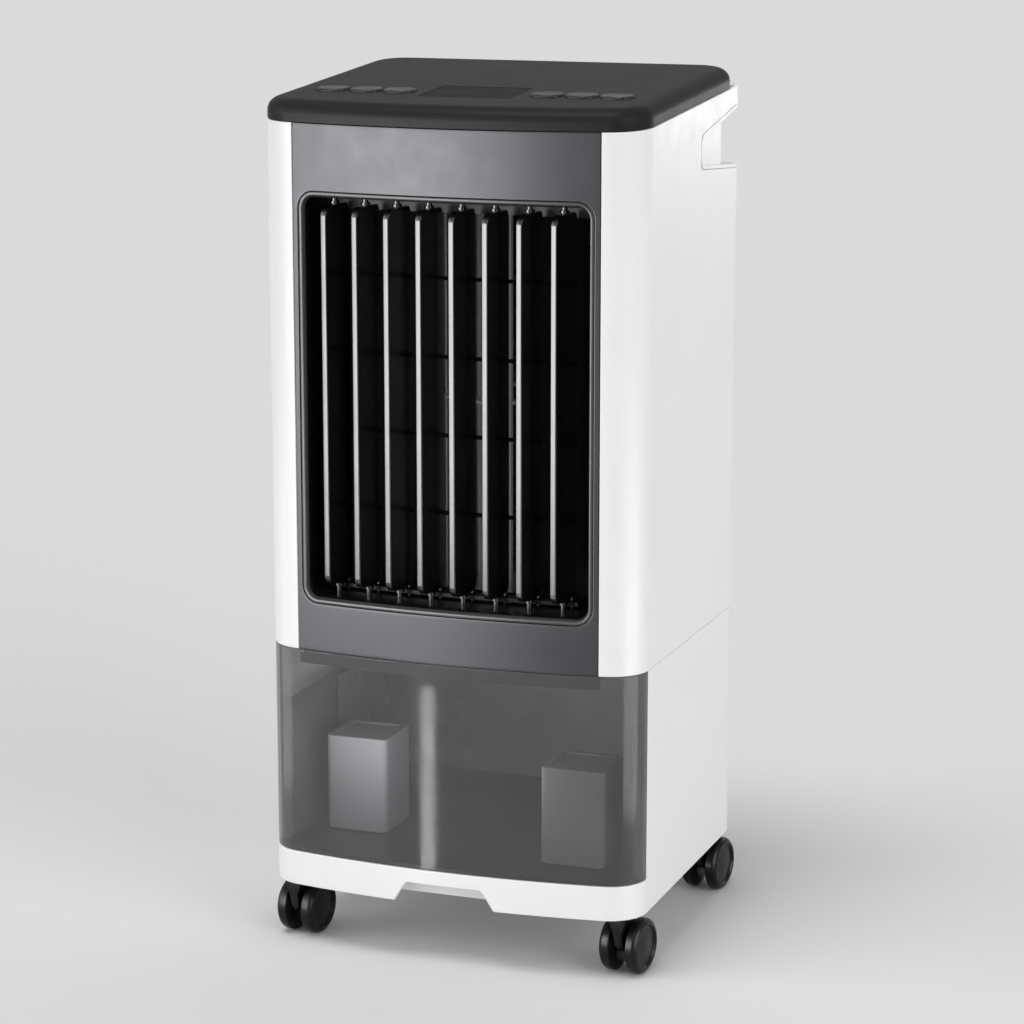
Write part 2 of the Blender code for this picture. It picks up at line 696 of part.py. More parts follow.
# ------------------------------------------------------------------ water side
def water_tank(surface):
    """Drawer front that wraps both corners, with the tub behind it."""
    low, high = TANK_BOTTOM, SHELL_BOTTOM - GAP
    tank = band("water_tank", low, high, 0.0, TANK_WALL, surface)
    keep(tank, box("front", (-WIDTH, WIDTH), (-DEPTH, TANK_SEAM_Y), (low - 1, high + 1)))
    flank = (TUB_HALF - TANK_WALL, WIDTH / 2 - 1)
    for side in (-1, 1):
        reach = sorted((side * flank[0], side * flank[1]))
        add(tank, box("return", reach, (TANK_SEAM_Y - TANK_WALL, TANK_SEAM_Y), (low, TUB_TOP)))
    tub = box("tub", (-TUB_HALF, TUB_HALF), (TANK_SEAM_Y - TANK_WALL, TUB_BACK), (low, TUB_TOP))
    inner = TUB_HALF - TANK_WALL
    cut(tub, box("hollow", (-inner, inner), (-DEPTH, TUB_BACK - TANK_WALL), (low + TANK_WALL, TUB_TOP + 1)))
    floor = prism("floor", outline(1.0), low, low + TANK_WALL)
    keep(floor, box("front", (-WIDTH, WIDTH), (-DEPTH, TANK_SEAM_Y), (low - 1, high)))
    add(tank, tub, floor)
    return finish(tank)


def ice_box(name, x, y, z, surface):
    plan = rounded(x[0], x[1], y[0], y[1], 3.0, 3)
    return finish(prism(name, plan, z[0], z[1], "Z", surface))


def pump_centre():
    return (92.0, 66.0)


def pump_body(surface):
    x, y = pump_centre()
    low, floor = TANK_BOTTOM + TANK_WALL + 0.5, TANK_BOTTOM + TANK_WALL + 9
    pump = prism("pump_body", rounded(x - 19, x + 19, y - 16, y + 16, 5), low, low + 42, "Z", surface)
    add(pump, rod("spigot", (x + 6, y), 4.0, low + 41, 176, sides=16))
    cut(pump, rod("chamber", (x, y), 12.0, low - 1, floor + 6, sides=20),
        rod("waterway", (x + 6, y), 2.6, floor, 180, sides=12))
    slots = [box("slot", (x - 25, x + 25), (y - 13 + 6 * i, y - 10 + 6 * i), (low - 1, low + 4))
             for i in range(5)]
    cut(pump, group("slots", slots))
    return finish(pump)


def pump_rotor(surface):
    x, y = pump_centre()
    low = TANK_BOTTOM + TANK_WALL + 2.0
    rotor = rod("pump_rotor", (x, y), 10.5, low, low + 1.6, sides=20, surface=surface)
    add(rotor, box("vane", (x - 10, x + 10), (y - 0.7, y + 0.7), (low + 1, low + 8)),
        box("vane", (x - 0.7, x + 0.7), (y - 10, y + 10), (low + 1, low + 8)))
    return finish(rotor, (x, y, low))


def hose_route():
    """Centre line: up from over the pump, in under the shell, and over to the tray's port."""
    x, y = pump_centre()
    start = (x + 6, y, 178.0)
    shoulder = 484.0
    bend = 14.0
    points = [start]
    side = 111.0
    points += [(start[0], y, 184.0), (start[0] + 3, y, 196.0), (side - 3, y, 214.0), (side, y, 226.0)]
    points += [(side, y, 226.0 + (shoulder - 226.0) * i / 3) for i in (1, 2, 3)]
    points += [(u, y, v) for u, v in arc(side - bend, shoulder, bend, 15, 90, 5)]
    return points


def water_hose(surface):
    curve = bpy.data.curves.new("water_hose", "CURVE")
    curve.dimensions = "3D"
    curve.bevel_depth = 4.0 * MM
    curve.bevel_resolution = 2
    curve.use_fill_caps = True
    spline = curve.splines.new("POLY")
    route = hose_route()
    spline.points.add(len(route) - 1)
    for point, at in zip(spline.points, route):
        point.co = (*[c * MM for c in at], 1.0)
    curve.materials.append(surface)
    hose = bpy.data.objects.new("water_hose", curve)
    bpy.context.collection.objects.link(hose)
    return hose


def water_tray(surface):
    """Trough over the pad, with drip holes and a port at its right end."""
    half, front, back, low, high = 92.0, 58.0, 92.0, 490.6, 504.0
    tray = box("water_tray", (-half, half), (front, back), (low, high), surface)
    cut(tray, box("trough", (-half + 2, half - 2), (front + 2, back - 2), (low + 2, high + 1)))
    drips = [rod("drip", (-80 + 20 * i, 75.0), 1.6, low - 1, low + 3, sides=8) for i in range(9)]
    cut(tray, group("drips", drips))
    cut(tray, rod("port", (pump_centre()[1], 498.0), 3.0, half - 4, half + 3, "X", 12))
    return finish(tray)


def cooling_pad(surface):
    return finish(box("cooling_pad", (-91, 91), (60, 90), (229, 489.8), surface))


def pad_carrier(surface):
    """Tray-like frame that holds the pad from below and at its sides, open at front and back."""
    carrier = box("pad_carrier", (-95, 95), (57, 92.5), (224, 486), surface)
    cut(carrier, box("room", (-91.4, 91.4), (0, 130), (228.6, 500)))
    for depth in ((57, 59.6), (90.4, 92.5)):
        add(carrier, box("rail", (-95, 95), depth, (224, 234)))
    return finish(carrier)


def rear_grille(surface):
    """Lift-off intake grille with a rim that holds the dust filter."""
    half, low, high = INTAKE_HALF - GAP, INTAKE_LOW + GAP, INTAKE_HIGH - GAP
    back = DEPTH / 2 - 0.2
    grille = prism("rear_grille", rounded(-half, half, low, high, 7.7), back - 9, back, "Y", surface)
    cut(grille, prism("room", rounded(-half + 3, half - 3, low + 3, high - 3, 5), back - 10, back - 2.6, "Y"))
    rows, bar, margin, spine = 14, 4.6, 9.0, 3.0
    pitch = (high - low - 2 * margin + bar) / rows
    slots = []
    for row in range(rows):
        z = low + margin + row * pitch
        for side in (-1, 1):
            reach = sorted((side * spine, side * (half - margin)))
            slots.append(box("slot", reach, (back - 5, back + 1), (z, z + pitch - bar)))
    cut(grille, group("slots", slots))
    return finish(grille)


def dust_filter(surface):
    half, low, high = INTAKE_HALF - GAP - 3.6, INTAKE_LOW + 4.0, INTAKE_HIGH - 4.0
    back = DEPTH / 2 - 0.2
    border = rounded(-half, half, low, high, 4)
    return finish(prism("dust_filter", border, back - 4.6, back - 3.2, "Y", surface))


# ------------------------------------------------------------------ casters
def caster_stems():
    """Swivel axes in the order front left, front right, rear left, rear right."""
    return [(side * CASTER_X, y) for y in (CASTER_FRONT_Y, CASTER_REAR_Y) for side in (-1, 1)]


def swung(stem, u, v):
    """A point of a straight caster after the caster has turned about its stem."""
    turn = math.radians(CASTER_REST_DEG)
    du, dv = u - stem[0], v - stem[1]
    return (stem[0] + du * math.cos(turn) - dv * math.sin(turn),
            stem[1] + du * math.sin(turn) + dv * math.cos(turn))


def swing(obj, stem):
    """Turns a piece made for a straight caster to where it stands."""
    at = Matrix.Translation((stem[0] * MM, stem[1] * MM, 0))
    obj.data.transform(at @ Matrix.Rotation(math.radians(CASTER_REST_DEG), 4, "Z") @ at.inverted())
    return obj


def caster_fork(name, stem, surface):
    """Stem, the web between the wheels that widens upwards, and the boss round the axle."""
    x, y = stem
    axle_y = y + CASTER_TRAIL
    half = WHEEL_CENTRE - WHEEL_WIDTH / 2 - GAP
    rise = WHEEL_RADIUS
    side = [(y - 7.5, 40.6), (y - 8.0, 31.0), (y - 5.0, 20.0), (axle_y - 4, rise - 5), (axle_y + 4, rise - 5),
            (axle_y + 7, rise + 2), (axle_y + 8, 30.0), (axle_y + 2, 37.5), (y + 7.5, 40.6)]
    fork = prism(name, side, x - half, x + half, "X", surface)
    widths = ((29.5, half - 0.4), (36.4, half + 2.3), (40.6, half + 3.4))
    wedge = [([(x - w, y - 8), (x + w, y - 8), (x + w, y + 6), (x - w, y + 6)], z) for z, w in widths]
    add(fork, loft("wedge", wedge), rod("collar", stem, 8.0, 38.6, 44.6, sides=20),
        rod("stem", stem, STEM_RADIUS, 43.0, DECK_TOP - PLATE - 1, sides=14))
    cut(fork, rod("axle_bore", (axle_y, rise), AXLE_RADIUS + GAP, x - 20, x + 20, "X", 12))
    return finish(swing(fork, stem), (x, y, 42.0))


def caster_axle(name, stem, surface):
    x, y = stem
    reach = WHEEL_CENTRE + WHEEL_WIDTH / 2 - 3.0
    axle = rod(name, (y + CASTER_TRAIL, WHEEL_RADIUS), AXLE_RADIUS, x - reach, x + reach, "X", 10, surface)
    return finish(swing(axle, stem))


def caster_wheel(name, stem, side, surface):
    """Half of a twin wheel: a rounded tread and a dished outer face, closed over the axle end."""
    x, y = stem
    centre = (y + CASTER_TRAIL, WHEEL_RADIUS)
    inner = x + side * (WHEEL_CENTRE - WHEEL_WIDTH / 2)
    outer = x + side * (WHEEL_CENTRE + WHEEL_WIDTH / 2)
    steps = [(WHEEL_RADIUS - 7, 0.0), (WHEEL_RADIUS, 2.8), (WHEEL_RADIUS, WHEEL_WIDTH - 2.4),
             (WHEEL_RADIUS - 2.6, WHEEL_WIDTH)]
    loops = [(circle(centre[0], centre[1], radius, 20), inner + side * depth) for radius, depth in steps]
    wheel = loft(name, loops, "X", surface)
    dish = (outer - side * 0.9, outer + side * 2)
    bore = (inner - side * 2, outer - side * 2.6)
    cut(wheel, rod("dish", centre, WHEEL_RADIUS - 4.4, min(dish), max(dish), "X", 20),
        rod("bore", centre, AXLE_RADIUS + GAP, min(bore), max(bore), "X", 10))
    return finish(swing(wheel, stem), (*swung(stem, x + side * WHEEL_CENTRE, centre[0]), centre[1]))


# ------------------------------------------------------------------ assembly
def main():
    for obj in list(bpy.data.objects):
        bpy.data.objects.remove(obj, do_unlink=True)
    white = material("white_shell", (0.83, 0.83, 0.85), 0.38)
    grey = material("grey_panel", (0.13, 0.13, 0.14), 0.3)
    cover = material("cover_grey", (0.07, 0.07, 0.072), 0.45)
    black = material("black_plastic", (0.014, 0.014, 0.016), 0.35)
    smoke = material("smoked_tank", (0.10, 0.10, 0.11), 0.12, 0.0, 0.55)
    lens = material("dark_window", (0.01, 0.01, 0.012), 0.08)
    frost = material("ice_box_plastic", (0.55, 0.56, 0.58), 0.5)
    inner = material("inner_plastic", (0.20, 0.20, 0.21), 0.55)
    steel = material("steel", (0.45, 0.45, 0.46), 0.35, 1.0)
    paper = material("pad_cellulose", (0.25, 0.17, 0.09), 0.9)
    mesh = material("filter_mesh", (0.05, 0.05, 0.055), 0.8)
    rubber = material("hose_rubber", (0.5, 0.52, 0.54), 0.4)
    green = material("circuit_board", (0.02, 0.12, 0.05), 0.5)

    base_shell(white)
    cord_gland(black)
    side_shell("left_side_shell", -1, white)
    side_shell("right_side_shell", 1, white)
    rear_shell(white)
    handle_liner(white)
    front_panel(grey)
    louvre_frame(grey)
    inner_guard(black)
    for number, pivot in enumerate(louvre_pivots(), 1):
        louvre_blade(number, pivot, black)
    louvre_link(black)
    swing_motor(steel)
    top_cover(cover)
    display_window(lens)
    eye_lens(lens)
    for side, names in ((-1, ("timer", "swing", "mode")), (1, ("cool", "speed", "power"))):
        places = BUTTON_X if side > 0 else BUTTON_X[::-1]
        for name, x in zip(names, places):
            button(f"button_{name}", side * x, cover)
    control_board(green)
    fan_housing(inner)
    fan_wheel(black)
    fan_bearing(steel)
    fan_motor(steel)
    tank = water_tank(smoke)
    floor = TANK_BOTTOM + TANK_WALL + GAP
    ice_box("ice_box_left", (-106, -62), (-70, -26), (floor, floor + 66), frost)
    ice_box("ice_box_right", (56, 100), (-92, -48), (floor, floor + 66), frost)
    pump_body(black)
    pump_rotor(inner)
    water_hose(rubber)
    water_tray(inner)
    cooling_pad(paper)
    pad_carrier(inner)
    grille = rear_grille(white)
    dust_filter(mesh)
    for piece in ("ice_box_left", "ice_box_right", "pump_body", "pump_rotor"):
        finish_parent(piece, tank)
    finish_parent("dust_filter", grille)

    corners = ("front_left", "front_right", "rear_left", "rear_right")
    for corner, stem in zip(corners, caster_stems()):
        fork = caster_fork(f"caster_fork_{corner}", stem, black)
        caster_axle(f"caster_axle_{corner}", stem, steel)
        finish_parent(f"caster_axle_{corner}", fork)
        for side, word in ((-1, "a"), (1, "b")):
            caster_wheel(f"caster_wheel_{corner}_{word}", stem, side, black)
            finish_parent(f"caster_wheel_{corner}_{word}", fork)


def finish_parent(name, parent):
    """Makes a piece ride on another without moving it."""
    bpy.context.view_layer.update()
    piece = bpy.data.objects[name]
    piece.parent = parent
    piece.matrix_parent_inverse = parent.matrix_world.inverted()


main()
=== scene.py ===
"""Looks of the portable evaporative air cooler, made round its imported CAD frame.

Lengths in the geometry helpers are millimetres; a mesh is turned into metres as it is made.
X is the width, -Y is the front and +Z is up, as in the frame.
"""
import json
import math

import bmesh
import bpy
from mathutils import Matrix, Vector


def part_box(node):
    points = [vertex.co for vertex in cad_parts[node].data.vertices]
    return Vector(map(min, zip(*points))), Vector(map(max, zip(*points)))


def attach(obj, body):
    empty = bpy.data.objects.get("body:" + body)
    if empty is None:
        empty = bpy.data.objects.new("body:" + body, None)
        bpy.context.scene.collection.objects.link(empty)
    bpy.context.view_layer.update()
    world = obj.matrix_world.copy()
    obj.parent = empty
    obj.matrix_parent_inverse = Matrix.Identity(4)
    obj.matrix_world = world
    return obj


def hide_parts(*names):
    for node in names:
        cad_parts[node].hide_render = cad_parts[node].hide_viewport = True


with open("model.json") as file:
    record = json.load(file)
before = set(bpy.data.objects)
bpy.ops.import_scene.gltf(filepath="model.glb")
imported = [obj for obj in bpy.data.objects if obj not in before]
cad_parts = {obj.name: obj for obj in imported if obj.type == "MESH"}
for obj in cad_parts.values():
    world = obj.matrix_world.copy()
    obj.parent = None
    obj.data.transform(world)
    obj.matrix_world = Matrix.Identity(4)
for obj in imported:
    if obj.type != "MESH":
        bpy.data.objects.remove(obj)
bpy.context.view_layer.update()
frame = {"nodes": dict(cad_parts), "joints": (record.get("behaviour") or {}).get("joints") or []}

MM = 0.001
GAP = 0.3
WALL = 2.5
BOW = 12.5
FRONT_RADIUS = 26.0
REAR_RADIUS = 36.0
SLOPE = 0.069
SEAM_Y = -92.3


def span(node):
    """Lowest and highest corner of a CAD node in millimetres."""
    low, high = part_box(node)
    return low / MM, high / MM


def joint_at(name):
    """Where a joint is, in millimetres, and its axis."""
    joint = next(j for j in frame["joints"] if j["name"] == name)
    return Vector(joint["pos_m"]) / MM, Vector(joint["axis"])


BASE_LOW, BASE_HIGH = span("base_shell")
PANEL_HALF = span("front_panel")[1].x
OUTLET_LOW, OUTLET_HIGH = span("louvre_frame")
COVER_LOW, COVER_HIGH = span("top_cover")
TANK_LOW, TANK_HIGH = span("water_tank")
SHELL_BOTTOM = span("right_side_shell")[0].z

HALF = BASE_HIGH.x
FRONT, BACK = BASE_LOW.y, BASE_HIGH.y
SHELL_TOP = COVER_LOW.z - GAP
COVER_BOTTOM = COVER_LOW.z
COVER_TOP = COVER_BOTTOM + 13.6
COVER_BACK = COVER_HIGH.y
COVER_REAR_RADIUS = 26.0


# ------------------------------------------------------------------ plan of the body
BOW_RADIUS = (HALF * HALF + BOW * BOW) / (2 * BOW)
BOW_Y = FRONT + BOW_RADIUS
CORNER_X = HALF - FRONT_RADIUS
CORNER_Y = BOW_Y - math.sqrt((BOW_RADIUS - FRONT_RADIUS) ** 2 - CORNER_X**2)
JOIN = math.asin(CORNER_X / (BOW_RADIUS - FRONT_RADIUS))
S_BOW = BOW_RADIUS * JOIN
S_CORNER = S_BOW + FRONT_RADIUS * (math.pi / 2 - JOIN)
S_SIDE = S_CORNER + BACK - REAR_RADIUS - CORNER_Y
S_REAR = S_SIDE + REAR_RADIUS * math.pi / 2
S_END = S_REAR + HALF - REAR_RADIUS


def plan(s):
    """Point and outward normal of the outline at arc length s from the middle of the front."""
    side, s = math.copysign(1.0, s), abs(s)
    if s <= S_BOW:
        turn = s / BOW_RADIUS
        x, y = BOW_RADIUS * math.sin(turn), BOW_Y - BOW_RADIUS * math.cos(turn)
    elif s <= S_CORNER:
        turn = JOIN + (s - S_BOW) / FRONT_RADIUS
        x, y = CORNER_X + FRONT_RADIUS * math.sin(turn), CORNER_Y - FRONT_RADIUS * math.cos(turn)
    elif s <= S_SIDE:
        turn, x, y = math.pi / 2, HALF, CORNER_Y + s - S_CORNER
    elif s <= S_REAR:
        turn = math.pi / 2 + (s - S_SIDE) / REAR_RADIUS
        x = HALF - REAR_RADIUS + REAR_RADIUS * math.sin(turn)
        y = BACK - REAR_RADIUS - REAR_RADIUS * math.cos(turn)
    else:
        turn, x, y = math.pi, HALF - REAR_RADIUS - (s - S_REAR), BACK
    return side * x, y, side * math.sin(turn), -math.cos(turn)


def laid(s, depth, z):
    """A point at a depth under the body's skin."""
    x, y, nx, ny = plan(s)
    return (x - nx * depth, y - ny * depth, z)


def s_of_front_x(x):
    """Arc length at which the bowed front reaches x."""
    return BOW_RADIUS * math.asin(x / BOW_RADIUS)


def s_of_side_y(y):
    """Arc length at which the right side reaches y, from the front corner to the rear corner."""
    if y < CORNER_Y:
        return S_BOW + FRONT_RADIUS * (math.acos((CORNER_Y - y) / FRONT_RADIUS) - JOIN)
    straight = BACK - REAR_RADIUS
    if y <= straight:
        return S_CORNER + y - CORNER_Y
    return S_SIDE + REAR_RADIUS * math.asin(min(1.0, (y - straight) / REAR_RADIUS))


def front_y(x, setback=0.0):
    """Where the bowed front is at x, at a setback under its skin."""
    radius = BOW_RADIUS - setback
    return BOW_Y - math.sqrt(radius * radius - x * x)


def breaks():
    """Arc lengths at which a sheet is divided so that it bends smoothly."""
    found = [S_BOW * i / 16 for i in range(17)]
    found += [S_BOW + (S_CORNER - S_BOW) * i / 14 for i in range(1, 15)]
    found += [S_SIDE + (S_REAR - S_SIDE) * i / 18 for i in range(19)]
    return sorted(set([-s for s in found] + found))


def outline(inset=0.0, back=BACK, rear_radius=REAR_RADIUS, corner=14, bow=32, rear=18):
    """Closed plan at an inset, anticlockwise from the left end of the front."""
    loop = arc(-CORNER_X, CORNER_Y, FRONT_RADIUS - inset, -180, -90 - math.degrees(JOIN), corner)
    turn = math.degrees(JOIN)
    loop += arc(0, BOW_Y, BOW_RADIUS - inset, -90 - turn, -90 + turn, bow)[1:-1]
    loop += arc(CORNER_X, CORNER_Y, FRONT_RADIUS - inset, -90 + turn, 0, corner)
    radius = rear_radius - inset
    loop += arc(HALF - rear_radius, back - rear_radius, radius, 0, 90, rear)
    loop += arc(-HALF + rear_radius, back - rear_radius, radius, 90, 180, rear)
    return loop


def arc(u, v, radius, start, end, steps):
    """Points on an arc about (u, v), its angles in degrees."""
    angles = [math.radians(start + (end - start) * i / steps) for i in range(steps + 1)]
    return [(u + radius * math.cos(a), v + radius * math.sin(a)) for a in angles]


def frame_loop(u0, u1, v0, v1, radius, across=24, along=10, corner=8):
    """A rectangle with round corners whose sides are divided evenly, anticlockwise from low u, low v."""
    loop = []
    corners = ((u0, v0, 180, across, 1, 0), (u1, v0, 270, along, 0, 1),
               (u1, v1, 0, across, -1, 0), (u0, v1, 90, along, 0, -1))
    for index, (u, v, start, count, du, dv) in enumerate(corners):
        cu = u + radius if u == u0 else u - radius
        cv = v + radius if v == v0 else v - radius
        loop += arc(cu, cv, radius, start, start + 90, corner)
        length = (u1 - u0 if du else v1 - v0) - 2 * radius
        end = loop[-1]
        steps = [length * i / count for i in range(1, count)]
        loop += [(end[0] + du * step, end[1] + dv * step) for step in steps]
    return loop


def lifted(y):
    """How much higher the sloping top is at y than at the front."""
    return SLOPE * (y - FRONT)


def rim(s):
    """Height of the upper edge of the side shells."""
    return SHELL_TOP + lifted(plan(s)[1])


# ------------------------------------------------------------------ meshes
def piece(name, points, faces, surface, body="chassis", stands_for=(), slot=None, smooth=32.0):
    """A finished piece from points in millimetres."""
    mesh = bpy.data.meshes.new(name)
    mesh.from_pydata([[c * MM for c in p] for p in points], [], faces)
    shape = bmesh.new()
    shape.from_mesh(mesh)
    return settle(name, shape, surface, body, stands_for, slot, smooth, mesh)


def settle(name, shape, surface, body="chassis", stands_for=(), slot=None, smooth=32.0, mesh=None):
    """Turns a bmesh in metres into a shaded object that rides on a body."""
    bmesh.ops.remove_doubles(shape, verts=shape.verts, dist=1e-6)
    bmesh.ops.recalc_face_normals(shape, faces=shape.faces)
    mesh = mesh or bpy.data.meshes.new(name)
    shape.to_mesh(mesh)
    shape.free()
    obj = bpy.data.objects.new(name, mesh)
    bpy.context.scene.collection.objects.link(obj)
    mesh.materials.append(surface)
    mesh.shade_smooth()
    mesh.set_sharp_from_angle(angle=math.radians(smooth))
    weighted = obj.modifiers.new("even_shading", "WEIGHTED_NORMAL")
    weighted.keep_sharp = True
    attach(obj, body)
    if stands_for:
        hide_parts(*([stands_for] if isinstance(stands_for, str) else stands_for))
    return obj


def skin(levels, closed=False, cap_start=True, cap_end=True):
    """Points and quad faces through loops of 3-D points, all with as many points."""
    count = len(levels[0])
    points = [p for level in levels for p in level]
    faces = []
    last = len(levels) if closed else len(levels) - 1
    for level in range(last):
        low, high = level * count, (level + 1) % len(levels) * count
        for i in range(count):
            j = (i + 1) % count
            faces.append((low + i, low + j, high + j, high + i))
    if not closed and cap_start:
        faces.append(tuple(range(count)))
    if not closed and cap_end:
        faces.append(tuple(range(len(points) - count, len(points))))
    return points, faces


def merged(*parts):
    """Several (points, faces) pairs as one."""
    points, faces = [], []
    for more, shapes in parts:
        base = len(points)
        points += more
        faces += [tuple(base + i for i in face) for face in shapes]
    return points, faces


def wrapped(name, loop, surface, side=1, thickness=WALL, depth=0.0, fillet=0.5, hole=(), **facts):
    """A sheet cut to loop, points (arc length, height), and laid on the body's skin.

    A sheet that goes all the way round has its ends joined at the rear.
    """
    shape = bmesh.new()
    layers = ([], [])
    at_end = lambda v: abs(v.co.x) > S_END - 1e-3
    for run in (loop, hole) if hole else (loop,):
        outer = [shape.verts.new((s, depth, z)) for s, z in run]
        inner = [shape.verts.new((s, depth + thickness, z)) for s, z in run]
        for i in range(len(run)):
            j = (i + 1) % len(run)
            if at_end(outer[i]) and at_end(outer[j]):
                shape.edges.new((outer[i], outer[j]))
                shape.edges.new((inner[i], inner[j]))
            else:
                shape.faces.new((outer[i], inner[i], inner[j], outer[j]))
            layers[0].append(shape.edges.get((outer[i], outer[j])))
            layers[1].append(shape.edges.get((inner[i], inner[j])))
    for edges in layers:
        bmesh.ops.triangle_fill(shape, use_beauty=True, use_dissolve=True, edges=edges)
    bmesh.ops.recalc_face_normals(shape, faces=shape.faces)
    on_skin = [e for e in shape.edges if all(abs(v.co.y - depth) < 1e-6 for v in e.verts)]
    edges = [e for e in on_skin if e.is_manifold and e.calc_face_angle(0.0) > 0.8]
    bmesh.ops.bevel(shape, geom=edges, offset=fillet, segments=3, profile=0.5, affect="EDGES",
                    clamp_overlap=True)
    low, high = min(s for s, _ in loop), max(s for s, _ in loop)
    for s in breaks():
        if low < s < high:
            geom = shape.verts[:] + shape.edges[:] + shape.faces[:]
            bmesh.ops.bisect_plane(shape, geom=geom, dist=1e-5, plane_co=(s, 0, 0), plane_no=(1, 0, 0))
    for v in shape.verts:
        v.co = Vector(laid(side * v.co.x, v.co.y, v.co.z)) * MM
    bmesh.ops.remove_doubles(shape, verts=shape.verts, dist=1e-6)
    bmesh.ops.holes_fill(shape, edges=[e for e in shape.edges if e.is_boundary], sides=6)
    return settle(name, shape, surface, **facts)


def lathe(profile, centre, steps=72, axis="X"):
    """Rings turned about an axis from (radius, position along it); ends are closed."""
    levels = []
    for radius, along in profile:
        ring = []
        for i in range(steps):
            turn = 2 * math.pi * i / steps
            u, v = radius * math.cos(turn), radius * math.sin(turn)
            if axis == "X":
                ring.append((along, centre[0] + u, centre[1] + v))
            elif axis == "Y":
                ring.append((centre[0] + u, along, centre[1] + v))
            else:
                ring.append((centre[0] + u, centre[1] + v, along))
        levels.append(ring)
    return skin(levels)


# ------------------------------------------------------------------ materials
class Nodes:
    """Short hand for building a node tree round one Principled shader."""

    def __init__(self, name):
        self.material = bpy.data.materials.new(name)
        self.material.use_nodes = True
        self.tree = self.material.node_tree
        self.shader = self.tree.nodes["Principled BSDF"]
        self.place = self.add("ShaderNodeTexCoord").outputs["Object"]

    def add(self, kind, **values):
        """A new node; each value goes to the setting or the input of that name."""
        node = self.tree.nodes.new(kind)
        for key, value in values.items():
            if hasattr(node, key):
                setattr(node, key, value)
            else:
                node.inputs[key.replace("_", " ")].default_value = value
        return node

    def link(self, start, end):
        """Links an output to an input."""
        self.tree.links.new(start, end)

    def noise(self, scale, detail=3.0, roughness=0.55, stretch=None):
        """Noise in object space, scaled per axis if stretch is given."""
        node = self.add("ShaderNodeTexNoise")
        node.inputs["Scale"].default_value = scale
        node.inputs["Detail"].default_value = detail
        node.inputs["Roughness"].default_value = roughness
        start = self.place
        if stretch:
            mapping = self.add("ShaderNodeMapping")
            mapping.inputs["Scale"].default_value = stretch
            self.link(self.place, mapping.inputs["Vector"])
            start = mapping.outputs["Vector"]
        self.link(start, node.inputs["Vector"])
        return node.outputs["Fac"]

    def ranged(self, source, low, high, start=0.3, end=0.7):
        """A value from start to end turned into one from low to high."""
        node = self.add("ShaderNodeMapRange")
        for key, value in (("From Min", start), ("From Max", end), ("To Min", low), ("To Max", high)):
            node.inputs[key].default_value = value
        self.link(source, node.inputs["Value"])
        return node.outputs["Result"]

    def mixed(self, source, first, second):
        """A colour between two."""
        node = self.add("ShaderNodeMix", data_type="RGBA")
        self.link(source, node.inputs["Factor"])
        node.inputs["A"].default_value = (*first, 1.0)
        node.inputs["B"].default_value = (*second, 1.0)
        return node.outputs["Result"]

    def bump(self, source, strength, distance, under=None):
        """A normal bent by a height, over another bump if one is given."""
        node = self.add("ShaderNodeBump")
        node.inputs["Strength"].default_value = strength
        node.inputs["Distance"].default_value = distance
        self.link(source, node.inputs["Height"])
        if under is not None:
            self.link(under, node.inputs["Normal"])
        return node.outputs["Normal"]

    def feed(self, source, socket):
        """Links an output to a socket of the shader."""
        self.link(source, self.shader.inputs[socket])

    def set(self, **values):
        """Sets inputs of the shader; an underscore stands for a space."""
        for key, value in values.items():
            self.shader.inputs[key.replace("_", " ")].default_value = value


def moulded(name, colour, roughness, grain=1400.0, depth=0.000015, strength=0.25, tone=0.04, spread=0.06,
            **more):
    """Moulded plastic: a fine spark-eroded grain, slow ripples of the tool, and uneven gloss.

    tone is how far the colour strays, as a share of it; spread is how far the roughness does.
    """
    made = Nodes(name)
    dark = tuple(c * (1 - tone) for c in colour)
    light = tuple(min(1.0, c * (1 + tone)) for c in colour)
    made.feed(made.mixed(made.ranged(made.noise(9.0, 2.0), 0.0, 1.0), dark, light), "Base Color")
    made.feed(made.ranged(made.noise(55.0, 4.0, 0.6), roughness - spread, roughness + spread), "Roughness")
    ripple = made.bump(made.noise(9.0, 1.0), 0.05, 0.0004)
    made.feed(made.bump(made.noise(grain, 2.0, 0.5), strength, depth, ripple), "Normal")
    made.set(**more)
    return made.material


def smoked(name, colour, alpha, roughness):
    """Clear plastic with a smoke tint; denser where it is seen edge on."""
    made = Nodes(name)
    light = tuple(c * 1.2 for c in colour)
    made.feed(made.mixed(made.ranged(made.noise(12.0), 0.0, 1.0), colour, light), "Base Color")
    made.feed(made.ranged(made.noise(40.0, 4.0), roughness, roughness + 0.08), "Roughness")
    made.feed(made.bump(made.noise(10.0, 1.0), 0.04, 0.001), "Normal")
    edge = made.add("ShaderNodeLayerWeight")
    edge.inputs["Blend"].default_value = 0.35
    made.feed(made.ranged(edge.outputs["Facing"], alpha, 0.93, 0.0, 1.0), "Alpha")
    made.set(IOR=1.49)
    return made.material


def cellulose(name):
    """Pleated paper of the cooling pad; its colour carries painted shade, darker in the troughs of the pleats.
    """
    made = Nodes(name)
    wave = made.add("ShaderNodeTexWave", wave_type="BANDS", bands_direction="DIAGONAL")
    wave.inputs["Scale"].default_value = 55.0
    wave.inputs["Distortion"].default_value = 2.0
    made.link(made.place, wave.inputs["Vector"])
    # Painted shade: the paper's own tan is darkened in the troughs of the pleats and stays light on the crests,
    # following the bands of the bump.
    made.feed(made.mixed(wave.outputs["Fac"], (0.09, 0.055, 0.025), (0.34, 0.24, 0.13)), "Base Color")
    made.feed(made.bump(wave.outputs["Fac"], 1.0, 0.003), "Normal")
    made.set(Roughness=0.92)
    return made.material


